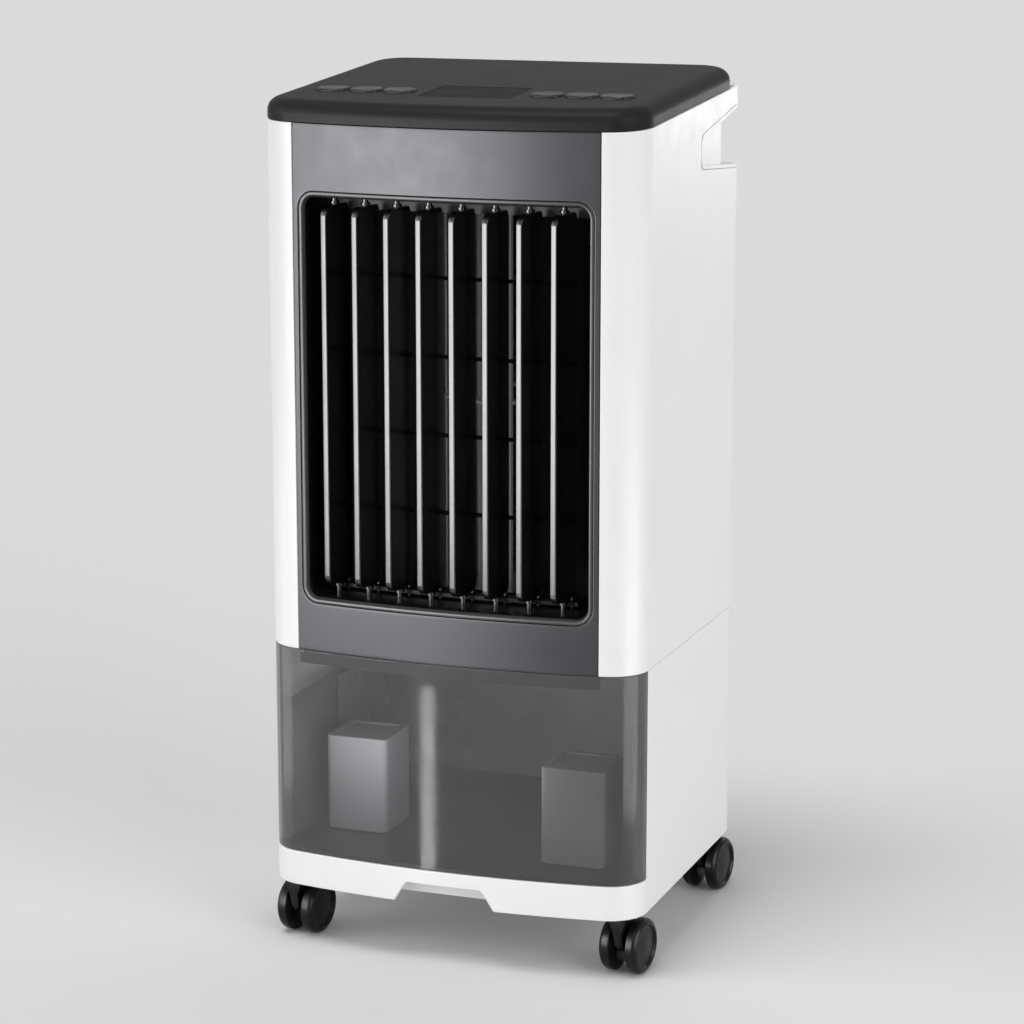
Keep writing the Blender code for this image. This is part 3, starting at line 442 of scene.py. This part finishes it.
def woven(name):
    """Fine mesh of the dust filter."""
    made = Nodes(name)
    bands = []
    for direction in ("X", "Z"):
        wave = made.add("ShaderNodeTexWave", wave_type="BANDS", bands_direction=direction)
        wave.inputs["Scale"].default_value = 260.0
        made.link(made.place, wave.inputs["Vector"])
        bands.append(wave.outputs["Fac"])
    joined = made.add("ShaderNodeMath", operation="MAXIMUM")
    made.link(bands[0], joined.inputs[0])
    made.link(bands[1], joined.inputs[1])
    weave = joined.outputs["Value"]
    made.feed(made.mixed(weave, (0.006, 0.006, 0.007), (0.05, 0.05, 0.055)), "Base Color")
    made.feed(made.bump(weave, 0.8, 0.0004), "Normal")
    made.set(Roughness=0.75)
    return made.material


def metal(name, colour, roughness):
    """Bare metal with drawn streaks in its gloss."""
    made = Nodes(name)
    dark = tuple(c * 0.8 for c in colour)
    made.feed(made.mixed(made.ranged(made.noise(30.0), 0.0, 1.0), dark, colour), "Base Color")
    streaks = made.noise(300.0, 2.0, 0.5, (1.0, 1.0, 0.05))
    made.feed(made.ranged(streaks, roughness - 0.08, roughness + 0.12), "Roughness")
    made.set(Metallic=1.0)
    return made.material


WHITE = moulded("white_shell", (0.86, 0.86, 0.872), 0.42, tone=0.010)
PANEL = moulded("grey_panel", (0.036, 0.036, 0.041), 0.36, grain=2200.0, strength=0.12, tone=0.03, spread=0.03,
                Metallic=0.35)
BEZEL = moulded("outlet_grey", (0.040, 0.040, 0.043), 0.34, grain=2200.0, strength=0.1)
RAIL = moulded("rail_grey", (0.030, 0.030, 0.032), 0.5, strength=0.2, Specular_IOR_Level=0.3)
COVER = moulded("cover_grey", (0.013, 0.013, 0.014), 0.46, grain=1600.0, strength=0.3, tone=0.015, spread=0.015,
                Specular_IOR_Level=0.13)
BUTTON = moulded("button_grey", (0.021, 0.021, 0.022), 0.30, grain=1800.0, strength=0.2,
                 Specular_IOR_Level=0.36)
BLADE = moulded("black_gloss", (0.003, 0.003, 0.0035), 0.24, grain=2000.0, strength=0.06, spread=0.03,
                Specular_IOR_Level=0.75)
BLACK = moulded("black_plastic", (0.006, 0.006, 0.007), 0.42, strength=0.3, Specular_IOR_Level=0.2)
TREAD = moulded("caster_tread", (0.004, 0.004, 0.0045), 0.32, strength=0.3, Specular_IOR_Level=0.22)
HOOD = moulded("caster_black", (0.004, 0.004, 0.0045), 0.30, strength=0.25, Specular_IOR_Level=0.25)
SMOKE = smoked("smoked_tank", (0.120, 0.120, 0.126), 0.30, 0.06)
TUB = smoked("smoked_tub", (0.130, 0.130, 0.136), 0.16, 0.16)
REAR_WALL = smoked("smoked_rear_wall", (0.290, 0.290, 0.298), 0.60, 0.22)
SUMP = smoked("smoked_floor", (0.024, 0.024, 0.027), 0.95, 0.30)
MESH = moulded("guard_black", (0.004, 0.004, 0.004), 0.8, strength=0.3, Specular_IOR_Level=0.04)
VANE = moulded("fan_grey", (0.50, 0.50, 0.51), 0.5, strength=0.2)
GLASS = moulded("dark_window", (0.006, 0.006, 0.007), 0.5, strength=0.1, spread=0.03, Specular_IOR_Level=0.08)
FROST = moulded("ice_box_plastic", (0.34, 0.345, 0.355), 0.5, strength=0.15)
INNER = moulded("inner_plastic", (0.22, 0.22, 0.225), 0.55)
STEEL = metal("steel", (0.45, 0.45, 0.46), 0.35)
PAD = cellulose("pad_cellulose")
FILTER = woven("filter_mesh")
HOSE = moulded("hose_rubber", (0.42, 0.44, 0.46), 0.4)
BOARD = moulded("circuit_board", (0.02, 0.12, 0.05), 0.5, grain=500.0)


# ------------------------------------------------------------------ body shells
HANDLE_START, HANDLE_FLOOR, HANDLE_ROOF = 13.0, 510.0, 554.0
HANDLE_MOUTH_LOW, HANDLE_MOUTH_HIGH = 519.0, 537.5
HANDLE_BEND_Y, HANDLE_BEND_Z = 90.0, 550.5
HANDLE_EDGE = 2.5
CORD_HOLE = 7.8


def handle_floor(y):
    """Height of the lower edge of the recess in the side shells."""
    start, behind = HANDLE_START + 5.5, BACK + 10
    drop = HANDLE_FLOOR - HANDLE_MOUTH_LOW
    return HANDLE_MOUTH_LOW - HANDLE_EDGE + drop * (y - start) / (behind - start)


def handle_roof(y):
    """Height of its upper edge, which bends under the cover's rear."""
    start, bend, behind = HANDLE_START + 5.5, HANDLE_BEND_Y, BACK + 10
    if y < bend:
        rise = HANDLE_BEND_Z - HANDLE_MOUTH_HIGH
        return HANDLE_MOUTH_HIGH + HANDLE_EDGE + rise * (y - start) / (bend - start)
    rise = HANDLE_ROOF - HANDLE_BEND_Z
    return HANDLE_BEND_Z + HANDLE_EDGE + rise * (y - bend) / (behind - bend)


def side_shells():
    """Left and right shell, each one sheet round the front corner with the hand recess cut in."""
    start, end = s_of_front_x(PANEL_HALF + GAP), S_REAR - 0.3
    stops = [s for s in breaks() if start < s < end]
    entry = HANDLE_START - HANDLE_EDGE
    mouth = entry + 8.0
    tail = [s for s in stops if s > s_of_side_y(mouth)] + [end]
    y_at = lambda s: plan(s)[1]
    loop = [(start, SHELL_BOTTOM), (end, SHELL_BOTTOM)]
    loop += [(s, handle_floor(y_at(s))) for s in reversed(tail)]
    floor, roof = handle_floor(mouth), handle_roof(mouth)
    corner = 6.0
    loop += [(s_of_side_y(u), v) for u, v in arc(entry + corner, floor + corner, corner, 270, 180, 6)]
    loop += [(s_of_side_y(u), v) for u, v in arc(entry + corner, roof - corner, corner, 180, 90, 6)]
    loop += [(s, handle_roof(y_at(s))) for s in tail]
    loop += [(s, rim(s)) for s in [end] + stops[::-1] + [start]]
    for side, word in ((-1, "left"), (1, "right")):
        wrapped(f"{word}_side", loop, WHITE, side, fillet=0.6, stands_for=f"{word}_side_shell",
                slot="white_shell")


def base():
    """The skirt with its finger notch, the heel at the rear, and the deck."""
    low, high, deck = BASE_LOW.z, BASE_HIGH.z, TANK_LOW.z - 0.4
    chamfer = 10.0
    heel = lambda s: low + max(0.0, plan(s)[1] - (BACK - chamfer))
    seam = s_of_side_y(SEAM_Y)
    stops = [s for s in breaks() if s > s_of_side_y(BACK - chamfer)]
    notch = [(35.0, low), (28.5, low + 10.5), (25.5, low + 13.5)]
    half = [(s_of_front_x(x), z) for x, z in reversed(notch)]
    half += [(s_of_side_y(BACK - chamfer), low)] + [(s, heel(s)) for s in stops] + [(S_END, heel(S_END))]
    half += [(S_END, high), (seam, high), (seam, deck)]
    loop = half + [(-s, z) for s, z in reversed(half)]
    cord = (sum(span("cord_gland"), Vector())) / 2
    hole = arc(-(S_END + cord.x), cord.z, CORD_HOLE, 0, 360, 36)[:-1]
    wrapped("base_skirt", loop, WHITE, fillet=0.6, hole=hole, stands_for="base_shell", slot="white_shell")
    edge = BACK - chamfer
    curve = [(s, plan(s)) for s in [s_of_side_y(edge)] + stops + [S_END]]
    line = [(x, y) for _, (x, y, _, _) in curve]
    line += [(-x, y) for x, y in reversed(line[:-1])]
    top = [(x, y - 0.2, low + y - edge) for x, y in line]
    under = [(x, min(y, BACK) - 0.2 - 1.6, low + y - edge + 1.6) for x, y in line]
    piece("base_heel", *skin([top, under]), WHITE, slot="white_shell")
    plate = outline(WALL - 0.3)
    slab = skin([[(x, min(y, edge - 2), z) for x, y in plate] for z in (deck - 3.0, deck)])
    parts = [slab]
    boss = [(4.4, low + 3.4), (8.6, low + 3.4), (9.0, low + 3.8), (9.0, deck - 2), (4.4, deck - 2)]
    for x in (-115.0, 115.0):
        for y in (-97.5, 84.0):
            parts.append(lathe(boss, (x, y), 40, "Z"))
    piece("base_deck", *merged(*parts), WHITE, slot="white_shell")
    mouth = -122.6
    wall = [(-38, mouth), (-38, -111)] + arc(-35, -111, 3, 180, 90, 4)[1:]
    wall += arc(35, -111, 3, 90, 0, 4) + [(38, mouth), (36, mouth), (36, -111)]
    wall += arc(34.6, -111.4, 1.4, 0, 90, 4)[1:] + arc(-34.6, -111.4, 1.4, 90, 180, 4) + [(-36, mouth)]
    recess = [[(x, y, z) for x, y in wall] for z in (low + 3.0, deck - 1.0)]
    piece("finger_recess", *skin(recess), WHITE, slot="white_shell")


def ring(levels):
    """A closed ring through (loop of x and z, function that gives y from x)."""
    return skin([[(x, depth(x), z) for x, z in loop] for loop, depth in levels], closed=True)


def bowed(depth):
    """Depth function that follows the bow of the front, flat beyond the panel."""
    return lambda x: front_y(max(-108.0, min(108.0, x)), depth)


def level(y):
    """Depth function of a flat plane."""
    return lambda x: y


def front_panel():
    """The bowed grey panel round the outlet, with its tongue behind the top of the tank."""
    low, high = SHELL_BOTTOM, SHELL_TOP
    hole = OUTLET_HIGH.x + GAP

    def outer(g):
        loop = frame_loop(-PANEL_HALF + g, PANEL_HALF - g, low + g, high - g, 0.7)
        return [(x, z + lifted(front_y(x)) * (z > high - 5)) for x, z in loop]

    def inner(g):
        return frame_loop(-hole - g, hole + g, OUTLET_LOW.z - GAP - g, OUTLET_HIGH.z + GAP + g, 11.3 + g)

    def between(t):
        pairs = zip(outer(0.45), inner(0.45))
        return [(a * (1 - t) + c * t, b * (1 - t) + d * t) for (a, b), (c, d) in pairs]

    levels = [(outer(0), bowed(WALL)), (outer(0), bowed(0.45))]
    levels += [(outer(0.13), bowed(0.13)), (outer(0.45), bowed(0))]
    levels += [(between(t), bowed(0)) for t in (0.05, 0.35, 0.65, 0.95)]
    levels += [(inner(0.45), bowed(0)), (inner(0.13), bowed(0.13))]
    levels += [(inner(0), bowed(0.45)), (inner(0), bowed(WALL))]
    tongue = frame_loop(-PANEL_HALF, PANEL_HALF, low - 9.6, low + 6, 1.0)
    flap = skin([[(x, front_y(x, d), z) for x, z in tongue] for d in (WALL - 0.2, WALL + 2.3)])
    piece("front_panel_face", *merged(ring(levels), flap), PANEL, stands_for="front_panel", slot="grey_panel")


def outlet_frame():
    """Bezel, throat behind it, and the rail with the pivots over the blades."""
    half, low, high, back = OUTLET_HIGH.x, OUTLET_LOW.z, OUTLET_HIGH.z, OUTLET_HIGH.y

    def loop(g):
        return frame_loop(-half + g, half - g, low + g, high - g, 11.0 - g)

    steps = [(2.6, 6.0), (0, 6.0), (0, 0.9), (0.25, 0.4), (0.8, 0.2), (1.7, 0.2), (2.3, 0.45), (2.8, 1.2),
             (3.2, 2.4), (3.4, 3.4), (3.3, 6.0)]
    bezel = ring([(loop(g), bowed(d)) for g, d in steps])
    piece("outlet_bezel", *bezel, BEZEL, stands_for="louvre_frame", slot="grey_panel")
    rail = frame_loop(-95.2, 95.2, high - 14.5, high - 4.8, 1.5, 4, 2, 4)
    piece("outlet_rail", *skin([[(x, y, z) for x, z in rail] for y in (-81.4, -79.0)]), RAIL, slot="grey_panel")
    steps = [(3.5, 3.8), (3.75, 3.7), (4.1, 6.0), (4.5, 9.0)]
    levels = [(loop(g), bowed(d)) for g, d in steps]
    levels += [(loop(4.5), level(back)), (loop(2.0), level(back))]
    levels += [(loop(2.0), bowed(9.0)), (loop(3.5), bowed(6.2))]
    piece("outlet_throat", *ring(levels), BLADE, stands_for="louvre_frame", slot="grey_panel")


# ------------------------------------------------------------------ louvres
def louvres():
    """Eight blades on their pins, with round front corners, as they stand at rest."""
    lean = math.radians(-8.0)
    low, high = OUTLET_LOW.z + 10.8, OUTLET_HIGH.z - 10.0
    radius, steps = 7.0, 7
    turns = [math.pi / 2 * i / steps for i in range(steps + 1)]
    cuts = [(low + radius * (1 - math.cos(a)), radius * (1 - math.sin(a))) for a in turns]
    cuts += [(high - (z - low), back) for z, back in reversed(cuts)]
    for number in range(1, 9):
        joint, _ = joint_at(f"louvre_{number}_swing")
        parts = [skin([[(u, v, z) for u, v in blade_profile(back)] for z, back in cuts])]
        for a, b in ((low - 8.7, low + 1), (high - 1, high + 7.9)):
            parts.append(lathe([(1.6, a), (2.0, a + 0.4), (2.0, b)], (0, 0), 20, "Z"))
        parts.append(lathe([(1.1, low - 7.0), (1.5, low - 6.6), (1.5, low + 1)], (0, 13), 16, "Z"))
        for z in (low - 2.2, high + 0.6):
            parts.append(lathe([(3.2, z), (3.2, z + 1.6)], (0, 0), 24, "Z"))
        points, faces = merged(*parts)
        c, s = math.cos(lean), math.sin(lean)
        points = [(joint.x + x * c - y * s, joint.y + x * s + y * c, z) for x, y, z in points]
        piece(f"louvre_{number}_blade", points, faces, BLADE, f"louvre_{number}", f"louvre_blade_{number}",
              "black_plastic", 40)


def blade_profile(back):
    """Plan of a blade about its pivot; the leading edge is moved back by so much."""
    nose, fillet, lead, trail = 2.1, 0.75, 15.0 - back, 17.0 - back * 0.5
    loop = arc(-nose + fillet, -lead + fillet, fillet, 180, 270, 6) + [(0, -lead - 0.05)]
    loop += arc(nose - fillet, -lead + fillet, fillet, 270, 360, 6)
    tip = 0.8
    right = [(nose - 0.3 * t - 0.9 * t * t, (-lead + nose) * (1 - t) + (trail - tip) * t)
             for t in (0.0, 0.25, 0.5, 0.75)]
    loop += right + arc(0, trail - tip, tip, 0, 180, 6) + [(-x, y) for x, y in reversed(right)]
    return loop


# ------------------------------------------------------------------ cover and controls
def oval(x, y, length, width, steps=48, power=2.6):
    """A superellipse: an oval with slightly flat sides."""
    bulge = lambda c: math.copysign(abs(c) ** (2 / power), c)
    turns = [2 * math.pi * i / steps for i in range(steps)]
    return [(x + length * bulge(math.cos(a)), y + width * bulge(math.sin(a))) for a in turns]


def buttons():
    """Centre and half sizes of each push button, by node."""
    found = {}
    for name in frame["nodes"]:
        if name.startswith("button_"):
            low, high = span(name)
            found[name] = ((low.x + high.x) / 2, (low.y + high.y) / 2,
                           (high.x - low.x) / 2, (high.y - low.y) / 2)
    return found


def leaned(points):
    """Points moved up onto the slope of the top."""
    return [(x, y, z + lifted(y)) for x, y, z in points]


def cover():
    """The top shell: a rounded rim, and a sloping plate with holes for the buttons and the window."""
    top, base_z = COVER_TOP, COVER_BOTTOM
    edge = [(base_z, 0.45), (base_z + 0.13, 0.13), (base_z + 0.45, 0.0), (base_z + 3.0, 0.02)]
    for i in range(11):
        a = math.pi / 2 * i / 10
        edge.append((top - 9.0 + 9.0 * math.sin(a), 10.0 * (1 - math.cos(a)) ** 1.05))
    under = [(base_z, WALL), (top - 7.0, WALL + 0.3), (top - WALL, WALL + 7.0)]
    rings = [[(x, y, z) for x, y in outline(inset, COVER_BACK, COVER_REAR_RADIUS)] for z, inset in edge]
    inside = [[(x, y, z) for x, y in outline(inset, COVER_BACK, COVER_REAR_RADIUS)] for z, inset in under]
    lips = ((0.5, 0.0), (0.15, 0.15), (0.0, 0.5))
    room = GAP + 0.1
    holes = [[oval(x, y, length + room + g, width + room + g) for g, _ in lips]
             for x, y, length, width in buttons().values()]
    low, high = span("display_window")
    left, right, near, far = low.x - GAP, high.x + GAP, low.y - GAP, high.y + GAP
    holes.append([frame_loop(left - g, right + g, near - g, far + g, 1.2 + g, 12, 10, 4) for g, _ in lips])
    shape = bmesh.new()

    def lay(points):
        return [shape.verts.new(p) for p in leaned(points)]

    def join(a, b):
        for i in range(len(a)):
            j = (i + 1) % len(a)
            shape.faces.new((a[i], a[j], b[j], b[i]))

    walls = [lay(r) for r in rings]
    for a, b in zip(walls, walls[1:]):
        join(a, b)
    lining = [lay(r) for r in inside]
    join(walls[0], lining[0])
    for a, b in zip(lining, lining[1:]):
        join(a, b)
    upper, lower = [walls[-1]], [lining[-1]]
    for loops in holes:
        made = [lay([(x, y, top - drop) for x, y in loop]) for loop, (_, drop) in zip(loops, lips)]
        made.append(lay([(x, y, top - WALL) for x, y in loops[-1]]))
        for a, b in zip(made, made[1:]):
            join(a, b)
        upper.append(made[0])
        lower.append(made[-1])
    for group in (upper, lower):
        pairs = [pair for loop in group for pair in zip(loop, loop[1:] + loop[:1])]
        edges = [shape.edges.get(pair) or shape.edges.new(pair) for pair in pairs]
        bmesh.ops.triangle_fill(shape, use_beauty=True, use_dissolve=False, edges=edges)
    bmesh.ops.scale(shape, vec=(MM, MM, MM), verts=shape.verts)
    settle("cover_shell", shape, COVER, stands_for="top_cover", slot="cover_grey")


def controls():
    """Dished button caps, and the dark window between them."""
    bottom, top = COVER_BOTTOM + 0.6, COVER_TOP + 1.4
    steps = [(0.0, bottom), (0.0, top - 1.3), (0.1, top - 0.8), (0.4, top - 0.35), (0.9, top - 0.08),
             (1.5, top), (3.0, top - 0.12), (5.0, top - 0.3), (7.0, top - 0.38)]
    for name, (cx, cy, length, width) in buttons().items():
        levels = [leaned([(x, y, z) for x, y in oval(cx, cy, length - g, width - g)]) for g, z in steps]
        piece(name + "_cap", *skin(levels), BUTTON, name, name, "cover_grey", 40)
    low, high = span("display_window")
    top = COVER_TOP - 0.2
    levels = []
    for g, z in ((0, top - 2.0), (0, top - 0.4), (0.12, top - 0.12), (0.4, top)):
        loop = frame_loop(low.x + g, high.x - g, low.y + g, high.y - g, 1.0, 6, 6, 4)
        levels.append(leaned([(x, y, z) for x, y in loop]))
    piece("display_glass", *skin(levels), GLASS, stands_for="display_window", slot="dark_window")


# ------------------------------------------------------------------ tank
TUB_HALF, TUB_TOP, TUB_RADIUS = 121.0, 165.0, 9.0


def tank():
    """Smoked front that wraps both corners, and the tub, floor and rear wall behind it."""
    seam = s_of_side_y(SEAM_Y - GAP)
    low, high = TANK_LOW.z, TANK_HIGH.z
    loop = [(-seam, low), (seam, low), (seam, high), (-seam, high)]
    wrapped("tank_front", loop, SMOKE, thickness=2.0, fillet=0.7, body="tank", stands_for="water_tank",
            slot="smoked_tank")
    half, back, top, wall = TUB_HALF, TANK_HIGH.y, TUB_TOP, 2.0
    front = -94.6

    def run(g, start, radius):
        """Left side, rear and right side of the tub at an inset."""
        path = [(-half + g, start)] + arc(-half + radius, back - radius, radius - g, 180, 90, 10)
        return path + arc(half - radius, back - radius, radius - g, 90, 0, 10) + [(half - g, start)]

    def bent(outer, inner, start, radius, z):
        return [(x, y, z) for x, y in run(outer, start, radius) + run(inner, start, radius)[::-1]]

    rows = ((low + 0.3, 0.0), (top - 0.4, 0.0), (top - 0.1, 0.1), (top, 0.4))
    tub = [bent(g, wall - g, front, TUB_RADIUS, z) for z, g in rows]
    piece("tank_tub", *skin(tub), TUB, "tank", slot="smoked_tank")
    stops = [s for s in breaks() if abs(s) < s_of_side_y(front)]
    edge = s_of_side_y(front)
    plate = [laid(s, wall - 0.3, 0.0)[:2] for s in [-edge] + stops + [edge]]
    plate += run(0.2, front, TUB_RADIUS)[::-1]
    floor = [[(x, y, z) for x, y in plate] for z in (low + 0.1, low + wall)]
    piece("tank_sump", *skin(floor), SUMP, "tank", slot="smoked_tank")
    wings = []
    for side in (-1, 1):
        near, far = side * (half - 0.3), side * (HALF - wall + 0.3)
        flat = [(near, front), (far, front), (far, front + wall), (near, front + wall)]
        wings.append(skin([[(x, y, z) for x, y in flat] for z in (low + 0.3, top)]))
    piece("tank_wings", *merged(*wings), REAR_WALL, "tank", slot="smoked_tank")
    sheet = [bent(3.0, 4.0, -20.0, 19.0, z) for z in (low + wall + 0.3, top - 3.0)]
    piece("tank_rear_wall", *skin(sheet), REAR_WALL, "tank", slot="smoked_tank")


def ice_boxes():
    """Two pale boxes with rounded edges and a shallow pan in the lid."""
    for node in ("ice_box_left", "ice_box_right"):
        low, high = span(node)
        steps = [(1.5, low.z), (0.4, low.z + 0.4), (0, low.z + 1.5), (0, high.z - 1.5), (0.4, high.z - 0.4),
                 (1.5, high.z), (5.0, high.z), (5.6, high.z - 1.0), (14, high.z - 1.0)]
        levels = []
        for g, z in steps:
            loop = frame_loop(low.x + g, high.x - g, low.y + g, high.y - g, max(1.0, 4.0 - g), 4, 4, 5)
            levels.append([(x, y, z) for x, y in loop])
        piece(node + "_body", *skin(levels), FROST, "tank", node, "ice_box_plastic")


# ------------------------------------------------------------------ casters
def turned_to(axis, origin, points):
    """Points (along the axle, forward, up) about an origin, placed in the frame."""
    ox, oy, oz = origin
    return [(ox + a * axis.x - v * axis.y, oy + a * axis.y + v * axis.x, oz + w) for a, v, w in points]


def casters():
    """Twin-wheel stem casters; each wheel and each fork rides on its own body."""
    radius, width = 18.5, 10.4
    trail = 9.5
    side_view = [(-8.0, 40.4), (-8.6, 36), (-8.2, 30), (-5.5, 21), (trail - 6, radius - 4),
                 (trail, radius - 6), (trail + 5, radius - 4), (trail + 8, radius + 3), (trail + 8.6, 30),
                 (trail + 3, 37.0), (8, 40.4)]
    web = [[(dx, v + (trail / 2 - v) * g / 16, w + (28 - w) * g / 16) for v, w in side_view]
           for dx, g in ((-3.05, 0.6), (-2.6, 0.0), (2.6, 0.0), (3.05, 0.6))]
    hood = []
    for z, w in ((19.0, 1.2), (29.5, 2.7), (33.0, 4.0), (36.4, 5.3), (39.0, 6.2), (40.6, 6.5)):
        front = -8.2 + max(0.0, 29.5 - z) * 0.28
        half_plan = [(w - 0.5, front), (w, front + 0.5), (w, 6.0)]
        hood.append([(u, v, z) for u, v in half_plan + [(-u, v) for u, v in reversed(half_plan)]])
    post = lathe([(7.6, 38.6), (8.0, 39.0), (8.0, 41.4), (7.4, 41.8), (4.6, 42.0), (4.0, 42.4), (4.0, 60.0)],
                 (0.0, 0.0), 40, "Z")
    for corner in ("front_left", "front_right", "rear_left", "rear_right"):
        stem, _ = joint_at(f"caster_{corner}_swivel")
        for half, side in (("a", -1), ("b", 1)):
            hub, axis = joint_at(f"wheel_{corner}_{half}_roll")
            at = lambda d: side * (d - width / 2)
            bore = [(2.3, at(2)), (2.3, at(0))]
            inner_face = [(radius - d, at(t)) for d, t in (
                (7.4, 0), (6.6, 0.2), (0.9, 2.4), (0.2, 2.9), (0, 3.6))]
            outer_face = [(radius - d, at(width - t)) for d, t in (
                (0, 3.4), (0.3, 2.4), (1.0, 1.3), (2.0, 0.5), (3.1, 0.1), (3.8, 0), (4.4, 0.2), (4.7, 0.7),
                (5.2, 1.3), (6.4, 1.35))]
            cap = [(r, at(width - t)) for r, t in ((7.5, 1.0), (4.0, 0.7), (1.6, 0.65))]
            points, faces = lathe(bore + inner_face + outer_face + cap, (0.0, 0.0))
            node = f"caster_wheel_{corner}_{half}"
            piece(f"wheel_{corner}_{half}_tyre", turned_to(axis, hub, points), faces, TREAD,
                  f"wheel_{corner}_{half}", node, "caster_tread")
        points, faces = merged(skin(web), skin(hood), post)
        piece(f"fork_{corner}_web", turned_to(axis, (stem.x, stem.y, 0.0), points), faces, HOOD,
              f"caster_{corner}", f"caster_fork_{corner}", "black_plastic")


# ------------------------------------------------------------------ carried-over CAD nodes
CARRIED = {
    WHITE: ("handle_liner", "rear_shell", "rear_grille"),
    BLACK: ("cord_gland", "louvre_link", "pump_body", "fan_housing"),
    MESH: ("inner_guard",),
    VANE: ("fan_wheel",),
    INNER: ("pump_rotor", "water_tray", "pad_carrier"),
    STEEL: ("swing_motor", "fan_motor", "fan_bearing"),
    GLASS: ("receiver_lens",),
    PAD: ("cooling_pad",),
    FILTER: ("dust_filter",),
    HOSE: ("water_hose",),
    BOARD: ("control_board",),
}
EDGES = {"handle_liner": 0.5, "rear_shell": 0.4, "rear_grille": 0.3, "inner_guard": 0.3, "cord_gland": 0.4}


def carried():
    """Gives the CAD nodes that stay in sight their material and a softened edge."""
    surfaces = {n: s for s, names in CARRIED.items() for n in names}
    surfaces.update({n: STEEL for n in frame["nodes"] if n.startswith("caster_axle")})
    for name, surface in surfaces.items():
        obj = frame["nodes"][name]
        obj.data.materials.clear()
        obj.data.materials.append(surface)
        if name in EDGES:
            bevel = obj.modifiers.new("soft_edges", "BEVEL")
            bevel.width = EDGES[name] * MM
            bevel.segments = 2
            bevel.limit_method = "ANGLE"
            bevel.angle_limit = math.radians(50)
            bevel.harden_normals = False


# ------------------------------------------------------------------ stage, light and camera
def stage():
    """Pale floor, grey world, three suns, and small lights for the sheen and the tank."""
    floor = bpy.data.meshes.new("floor")
    reach = 40.0
    corners = [(-reach, -reach, 0), (reach, -reach, 0), (reach, reach, 0), (-reach, reach, 0)]
    floor.from_pydata(corners, [], [(0, 1, 2, 3)])
    obj = bpy.data.objects.new("floor", floor)
    bpy.context.scene.collection.objects.link(obj)
    floor.materials.append(moulded("floor", (0.70, 0.70, 0.70), 0.7, grain=30.0, depth=0.0001, strength=0.02,
                                   tone=0.004, Specular_IOR_Level=0.0))

    world = bpy.data.worlds.new("studio")
    bpy.context.scene.world = world
    world.use_nodes = True
    background = world.node_tree.nodes["Background"]
    background.inputs["Color"].default_value = (0.80, 0.80, 0.80, 1.0)
    background.inputs["Strength"].default_value = 0.55

    def sun(name, direction, energy, angle):
        """A sun that shines along a direction, as wide as an angle in degrees."""
        data = bpy.data.lights.new(name, "SUN")
        data.energy, data.angle = energy, math.radians(angle)
        lamp = bpy.data.objects.new(name, data)
        lamp.rotation_mode = "QUATERNION"
        lamp.rotation_quaternion = Vector(direction).to_track_quat("-Z", "Y")
        bpy.context.scene.collection.objects.link(lamp)

    sun("key", (0.12, 0.28, -1.0), 1.10, 24)
    sun("side", (-0.9, 0.45, -0.42), 1.15, 45)
    sun("fill", (0.85, 0.5, -0.32), 0.92, 40)

    def softbox(name, position, target, size, energy, gloss_only=True):
        """A rectangular light that is seen only in gloss, or only in matt surfaces."""
        data = bpy.data.lights.new(name, "AREA")
        data.shape, data.size, data.size_y, data.energy = "RECTANGLE", size[0], size[1], energy
        lamp = bpy.data.objects.new(name, data)
        lamp.location = position
        lamp.rotation_mode = "QUATERNION"
        lamp.rotation_quaternion = (Vector(target) - Vector(position)).to_track_quat("-Z", "Y")
        lamp.visible_diffuse = not gloss_only
        lamp.visible_glossy = gloss_only
        lamp.visible_camera = False
        bpy.context.scene.collection.objects.link(lamp)

    softbox("front", (-0.56, -1.10, 0.24), (0.0, -0.12, 0.24), (0.72, 0.86), 23)
    softbox("stripe", (-0.0755, -0.275, 0.075), (-0.013, -0.125, 0.075), (0.014, 0.140), 0.085)
    softbox("right", (0.46, -0.167, 0.12), (0.115, -0.1, 0.12), (0.30, 0.34), 1.25)
    softbox("left", (-0.44, -0.225, 0.12), (-0.115, -0.1, 0.12), (0.24, 0.34), 0.55)
    softbox("tank", (-0.030, -0.111, 0.136), (-0.030, 0.05, 0.130), (0.14, 0.04), 0.095, False)
    softbox("rim", (0.43, 0.98, 0.50), (0.13, 0.0, 0.56), (0.34, 0.10), 0.6)


def camera():
    """The photograph's view, from the right and a little above, about 2.1 m away."""
    data = bpy.data.cameras.new("camera")
    data.sensor_width, data.lens = 36.0, 110.4
    obj = bpy.data.objects.new("camera", data)
    obj.location = (0.7185, -1.9521, 0.7265)
    yaw, pitch = math.radians(20.136), math.radians(12.066)
    view = Vector((-math.sin(yaw) * math.cos(pitch), math.cos(yaw) * math.cos(pitch), -math.sin(pitch)))
    obj.rotation_mode = "QUATERNION"
    obj.rotation_quaternion = view.to_track_quat("-Z", "Y")
    bpy.context.scene.collection.objects.link(obj)
    bpy.context.scene.camera = obj


side_shells()
base()
front_panel()
outlet_frame()
louvres()
cover()
controls()
tank()
ice_boxes()
casters()
carried()
stage()
camera()
bpy.context.scene.view_settings.view_transform = "Standard"
